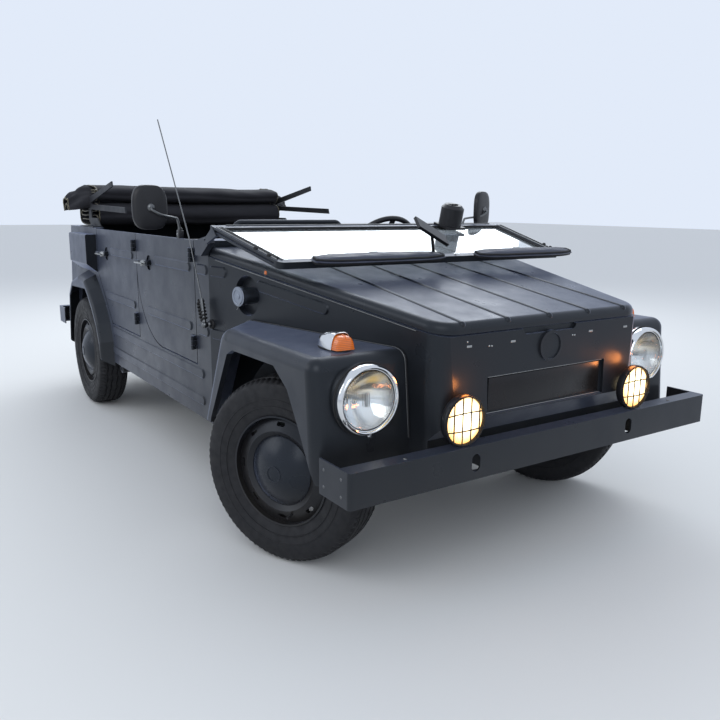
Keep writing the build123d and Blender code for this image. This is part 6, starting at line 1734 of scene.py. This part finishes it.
class CAR_OT_small_fittings(bpy.types.Operator):
    """Add the filler's chain and ring, the marker, the door levers, the lid's fittings and the bolts."""

    bl_idname = "car.small_fittings"
    bl_label = "Small fittings"

    def execute(self, context):
        self.filler()
        self.marker()
        for end in BOSS_X:
            for side, sign in SIDES.items():
                self.door_lever(end, side, sign)
        self.lid_fittings()
        self.bumper()
        return {"FINISHED"}

    def filler(self):
        """The fuel filler's short fixed chain, and the ring and knob on its cap."""
        line = []
        for share in steps_between(0, 1, CHAIN_LINKS + 1):
            bow = sin(pi * share)
            line.append(CHAIN_START + Vector((0.010 * bow - 0.028 * share, -0.004 * bow, -0.030 * share)))
        form = Form()
        for first, second in zip(line, line[1:]):
            form.tube([first.lerp(second, 0.1), first.lerp(second, 0.9)], 0.0013, "handle metal", 6)
        form.piece("filler_chain")
        out = nose_outward(SIDES["right"])
        face = Skin("fuel_filler").hit(FILLER + out * 0.20, -out)
        form = Form().ring(face + out * 0.0002, out, 0.0270, 0.0016, "silver cap", 40)
        knob = [(0.0100, 0), (0.0100, 0.0018), (0.0080, 0.0026), (0, 0.0026)]
        form.turned(face - out * 0.0004, out, knob, "silver cap", 28)
        form.piece("filler_cap_ring")

    def marker(self):
        """A small amber marker in a dark ring, on the bonnet's right edge."""
        form = Form().dome(MARKER, MARKER_OUT, 0.0075, 0.0040, "amber lens", 18, 4)
        form.ring(MARKER - LEFT * 0.0004, MARKER_OUT, 0.0095, 0.0012, "dark steel", 20, 6)
        form.piece("bonnet_marker_right", "bonnet")

    def door_lever(self, end, side, sign):
        """A pale lever over a door handle's blade, with its boss and its key barrel."""
        out = LEFT * sign
        boss = Vector((BOSS_X[end], sign * DOOR_Y, HANDLE_Z))
        line = [boss + FORWARD * along + out * (proud - 0.003) for along, proud in LEVER_LINE]
        line = smooth_path(line, 5)
        radii = [LEVER_RADIUS * (0.72 + 0.28 * sin(turn)) for turn in steps_between(0, pi, len(line))]
        form = Form().tube(line, radii, "handle metal", 14, flat=0.5)
        form.turned(boss, out, LEVER_BOSS, "handle metal", 28)
        form.turned(boss + out * 0.0008, out, LEVER_LOCK, "dark steel", 20)
        form.piece(f"door_lever_{end}_{side}", f"{end}_door_{side}")

    def lid_fittings(self):
        """The engine lid's turn handle and buffers, and the number lamp over the plate's place."""
        lid = Skin("engine_lid")
        spot = lid.hit((BEHIND, 0, LID_HANDLE_Z), FORWARD)
        form = Form().turned(spot, LID_OUT, LID_HANDLE, "handle metal", 32)
        form.block(spot + LID_OUT * 0.022, (0.012, 0.064, 0.010), "handle metal", bevel=0.004)
        form.piece("engine_lid_handle", "engine_lid")
        form = Form()
        for across in (-0.11, 0.11):
            spot = lid.hit((BEHIND, across, LID_BUFFER_Z), FORWARD) - FORWARD * 0.0005
            form.dome(spot, LID_OUT, 0.013, 0.006, "soft rubber", 20, 4, 0.002)
        form.piece("engine_lid_buffers", "engine_lid")
        spot = lid.hit((BEHIND, 0, NUMBER_LAMP_Z), FORWARD) + LID_OUT * 0.014
        form = Form().block(spot, (0.030, 0.120, 0.026), "grained plastic", bevel=0.006, segments=3)
        form.block(spot - UP * 0.0135, (0.020, 0.096, 0.004), "lamp glass", bevel=0.0015)
        form.piece("number_lamp", "engine_lid")

    def bumper(self):
        """The front bumper's bolts, and the dark brackets behind its slots."""
        skin = Skin("front_bumper")
        form = Form()
        for sign in SIDES.values():
            out = LEFT * sign
            for x, z in END_BOLTS:
                spot = skin.hit((x, sign * BESIDE, z), -out) - out * 0.001
                form.dome(spot, out, 0.0055, 0.0030, "dark steel", 14, 3)
            x, y = TOP_BOLT
            spot = skin.hit((x, sign * y, ABOVE), DOWN) - UP * 0.001
            form.dome(spot, UP, 0.0065, 0.0045, "dark steel", 14, 3)
        form.piece("bumper_bolts")
        form = Form()
        for sign in SIDES.values():
            x, y, z = SLOT_BRACKET
            form.block((x, sign * y, z), (0.030, 0.050, 0.060), "chassis paint", bevel=0.003)
        form.piece("bumper_slot_backs")


# The camera's sensor in millimetres, and the studio: floor size, and each soft lamp's place, size and share
SENSOR_WIDTH = 36.0
FLOOR_SIZE = 80
LAMP_AIM = Vector((0.2, 0, 0.7))
COOL_WHITE, WHITE = (0.92, 0.96, 1.0), (1, 1, 1)
SOFT_LAMPS = {
    "soft_overhead": ((-3.4, 2.4, 4.8), (5.5, 4.5), 1.6, COOL_WHITE),
    "soft_front": ((4.8, -3.0, 3.4), (3.0, 3.0), 0.45, WHITE),
    "soft_side": ((-1.5, -5.0, 3.0), (4.0, 2.5), 0.35, WHITE),
}
# A lit fog lamp's glow: its colour, its place from the lamp's centre and the radius of its source
GLOW_COLOUR = (1.0, 0.30, 0.06)
GLOW_PLACE = Vector((-0.010, -0.012, 0.094))
GLOW_RADIUS = 0.02


def camera_axes(stage):
    """The camera's right, up and backward directions."""
    level = Vector((-cos(stage.heading), sin(stage.heading), 0))
    forward = level * cos(stage.pitch) + UP * sin(stage.pitch)
    right = forward.cross(UP).normalized()
    up = right.cross(forward)
    turned_right = right * cos(stage.roll) + up * sin(stage.roll)
    turned_up = up * cos(stage.roll) - right * sin(stage.roll)
    return turned_right, turned_up, -forward


def add_camera(stage):
    """The camera at the photograph's viewing place."""
    data = bpy.data.cameras.new("photo_camera")
    data.sensor_width = SENSOR_WIDTH
    data.lens = stage.focal_length
    camera = bpy.data.objects.new("photo_camera", data)
    bpy.context.scene.collection.objects.link(camera)
    turn = Matrix(camera_axes(stage)).transposed().to_4x4()
    camera.matrix_world = Matrix.Translation(Vector(stage.eye)) @ turn
    bpy.context.scene.camera = camera


def add_floor(colour):
    """A plain pale floor."""
    bpy.ops.mesh.primitive_plane_add(size=FLOOR_SIZE)
    floor = bpy.context.object
    floor.name = "studio_floor"
    finish = Finish("studio floor", colour, 0.9)
    finish.bump(finish.noise(30, 2.0), 0.001, 0.1)
    floor.data.materials.append(finish.material)


def add_world(stage):
    """Light from all round, with a plain backdrop for the camera, for reflections and through glass."""
    world = bpy.data.worlds.new("studio_sky")
    bpy.context.scene.world = world
    world.use_nodes = True
    nodes = world.node_tree.nodes
    link = world.node_tree.links.new
    sky = nodes["Background"]
    sky.inputs["Color"].default_value = (*stage.sky_colour, 1)
    sky.inputs["Strength"].default_value = stage.sky_strength
    backdrop = nodes.new("ShaderNodeBackground")
    backdrop.inputs["Color"].default_value = (*stage.backdrop_colour, 1)
    rays = nodes.new("ShaderNodeLightPath").outputs
    seen = rays["Is Camera Ray"]
    for kind in ("Is Glossy Ray", "Is Transmission Ray"):
        either = nodes.new("ShaderNodeMath")
        either.operation = "MAXIMUM"
        link(seen, either.inputs[0])
        link(rays[kind], either.inputs[1])
        seen = either.outputs[0]
    mix = nodes.new("ShaderNodeMixShader")
    for number, source in enumerate((seen, sky.outputs[0], backdrop.outputs[0])):
        link(source, mix.inputs[number])
    link(mix.outputs[0], nodes["World Output"].inputs[0])


def add_soft_lamp(name, place, size, power, colour):
    """A large soft lamp that faces the car."""
    data = bpy.data.lights.new(name, "AREA")
    data.shape = "RECTANGLE"
    data.size, data.size_y = size
    data.energy = power
    data.color = colour
    lamp = bpy.data.objects.new(name, data)
    bpy.context.scene.collection.objects.link(lamp)
    facing = (LAMP_AIM - Vector(place)).to_track_quat("-Z", "Y")
    lamp.matrix_world = Matrix.Translation(Vector(place)) @ facing.to_matrix().to_4x4()


def add_glow(sign, power):
    """The warm light that a lit fog lamp throws on the panel behind it."""
    data = bpy.data.lights.new("fog_lamp_glow", "POINT")
    data.energy = power
    data.color = GLOW_COLOUR
    data.shadow_soft_size = GLOW_RADIUS
    glow = bpy.data.objects.new("fog_lamp_glow", data)
    bpy.context.scene.collection.objects.link(glow)
    glow.location = on_side(FOG_LAMP + GLOW_PLACE, sign)


class CAR_OT_studio(bpy.types.Operator):
    """Set up the camera, the floor, the world and the lamps."""

    bl_idname = "car.studio"
    bl_label = "Studio"

    def execute(self, context):
        stage = context.scene.car_stage
        add_camera(stage)
        add_floor(tuple(stage.floor_colour))
        add_world(stage)
        for name, (place, size, share, colour) in SOFT_LAMPS.items():
            add_soft_lamp(name, place, size, stage.lamp_power * share, colour)
        for sign in SIDES.values():
            add_glow(sign, stage.glow_power)
        context.scene.view_settings.view_transform = "Standard"
        return {"FINISHED"}


STEPS = (CAR_OT_finishes, CAR_OT_tyres, CAR_OT_wheel_fittings, CAR_OT_headlamps, CAR_OT_fog_lamps,
         CAR_OT_signal_lamps, CAR_OT_seats, CAR_OT_visors, CAR_OT_folded_top, CAR_OT_windshield,
         CAR_OT_mirrors, CAR_OT_antenna, CAR_OT_welts, CAR_OT_cabin, CAR_OT_small_fittings, CAR_OT_studio)


class CAR_PT_dresser(bpy.types.Panel):
    """Lists the steps that dress the car, and its colours and sizes."""

    bl_idname = "CAR_PT_dresser"
    bl_label = "Field Car"
    bl_space_type = "VIEW_3D"
    bl_region_type = "UI"
    bl_category = "Field Car"

    def draw(self, context):
        layout = self.layout
        for step in STEPS:
            layout.operator(step.bl_idname)
        for group in (context.scene.car_colours, context.scene.car_sizes, context.scene.car_stage):
            box = layout.box()
            for name in group.__annotations__:
                box.prop(group, name)


CLASSES = (StageSizes, CarColours, CarSizes, *STEPS, CAR_PT_dresser)


def register():
    """Make the classes known and hang the settings on the scene."""
    for cls in CLASSES:
        bpy.utils.register_class(cls)
    bpy.types.Scene.car_stage = PointerProperty(type=StageSizes)
    bpy.types.Scene.car_colours = PointerProperty(type=CarColours)
    bpy.types.Scene.car_sizes = PointerProperty(type=CarSizes)


def unregister():
    """Take everything off again."""
    del bpy.types.Scene.car_sizes
    del bpy.types.Scene.car_colours
    del bpy.types.Scene.car_stage
    for cls in reversed(CLASSES):
        bpy.utils.unregister_class(cls)


def main():
    """Dress the car."""
    register()
    bpy.ops.car.finishes()
    bpy.ops.car.tyres()
    bpy.ops.car.wheel_fittings()
    bpy.ops.car.headlamps()
    bpy.ops.car.fog_lamps()
    bpy.ops.car.signal_lamps()
    bpy.ops.car.seats()
    bpy.ops.car.visors()
    bpy.ops.car.folded_top()
    bpy.ops.car.windshield()
    bpy.ops.car.mirrors()
    bpy.ops.car.antenna()
    bpy.ops.car.welts()
    bpy.ops.car.cabin()
    bpy.ops.car.small_fittings()
    bpy.ops.car.studio()


if __name__ == "__main__":
    main()
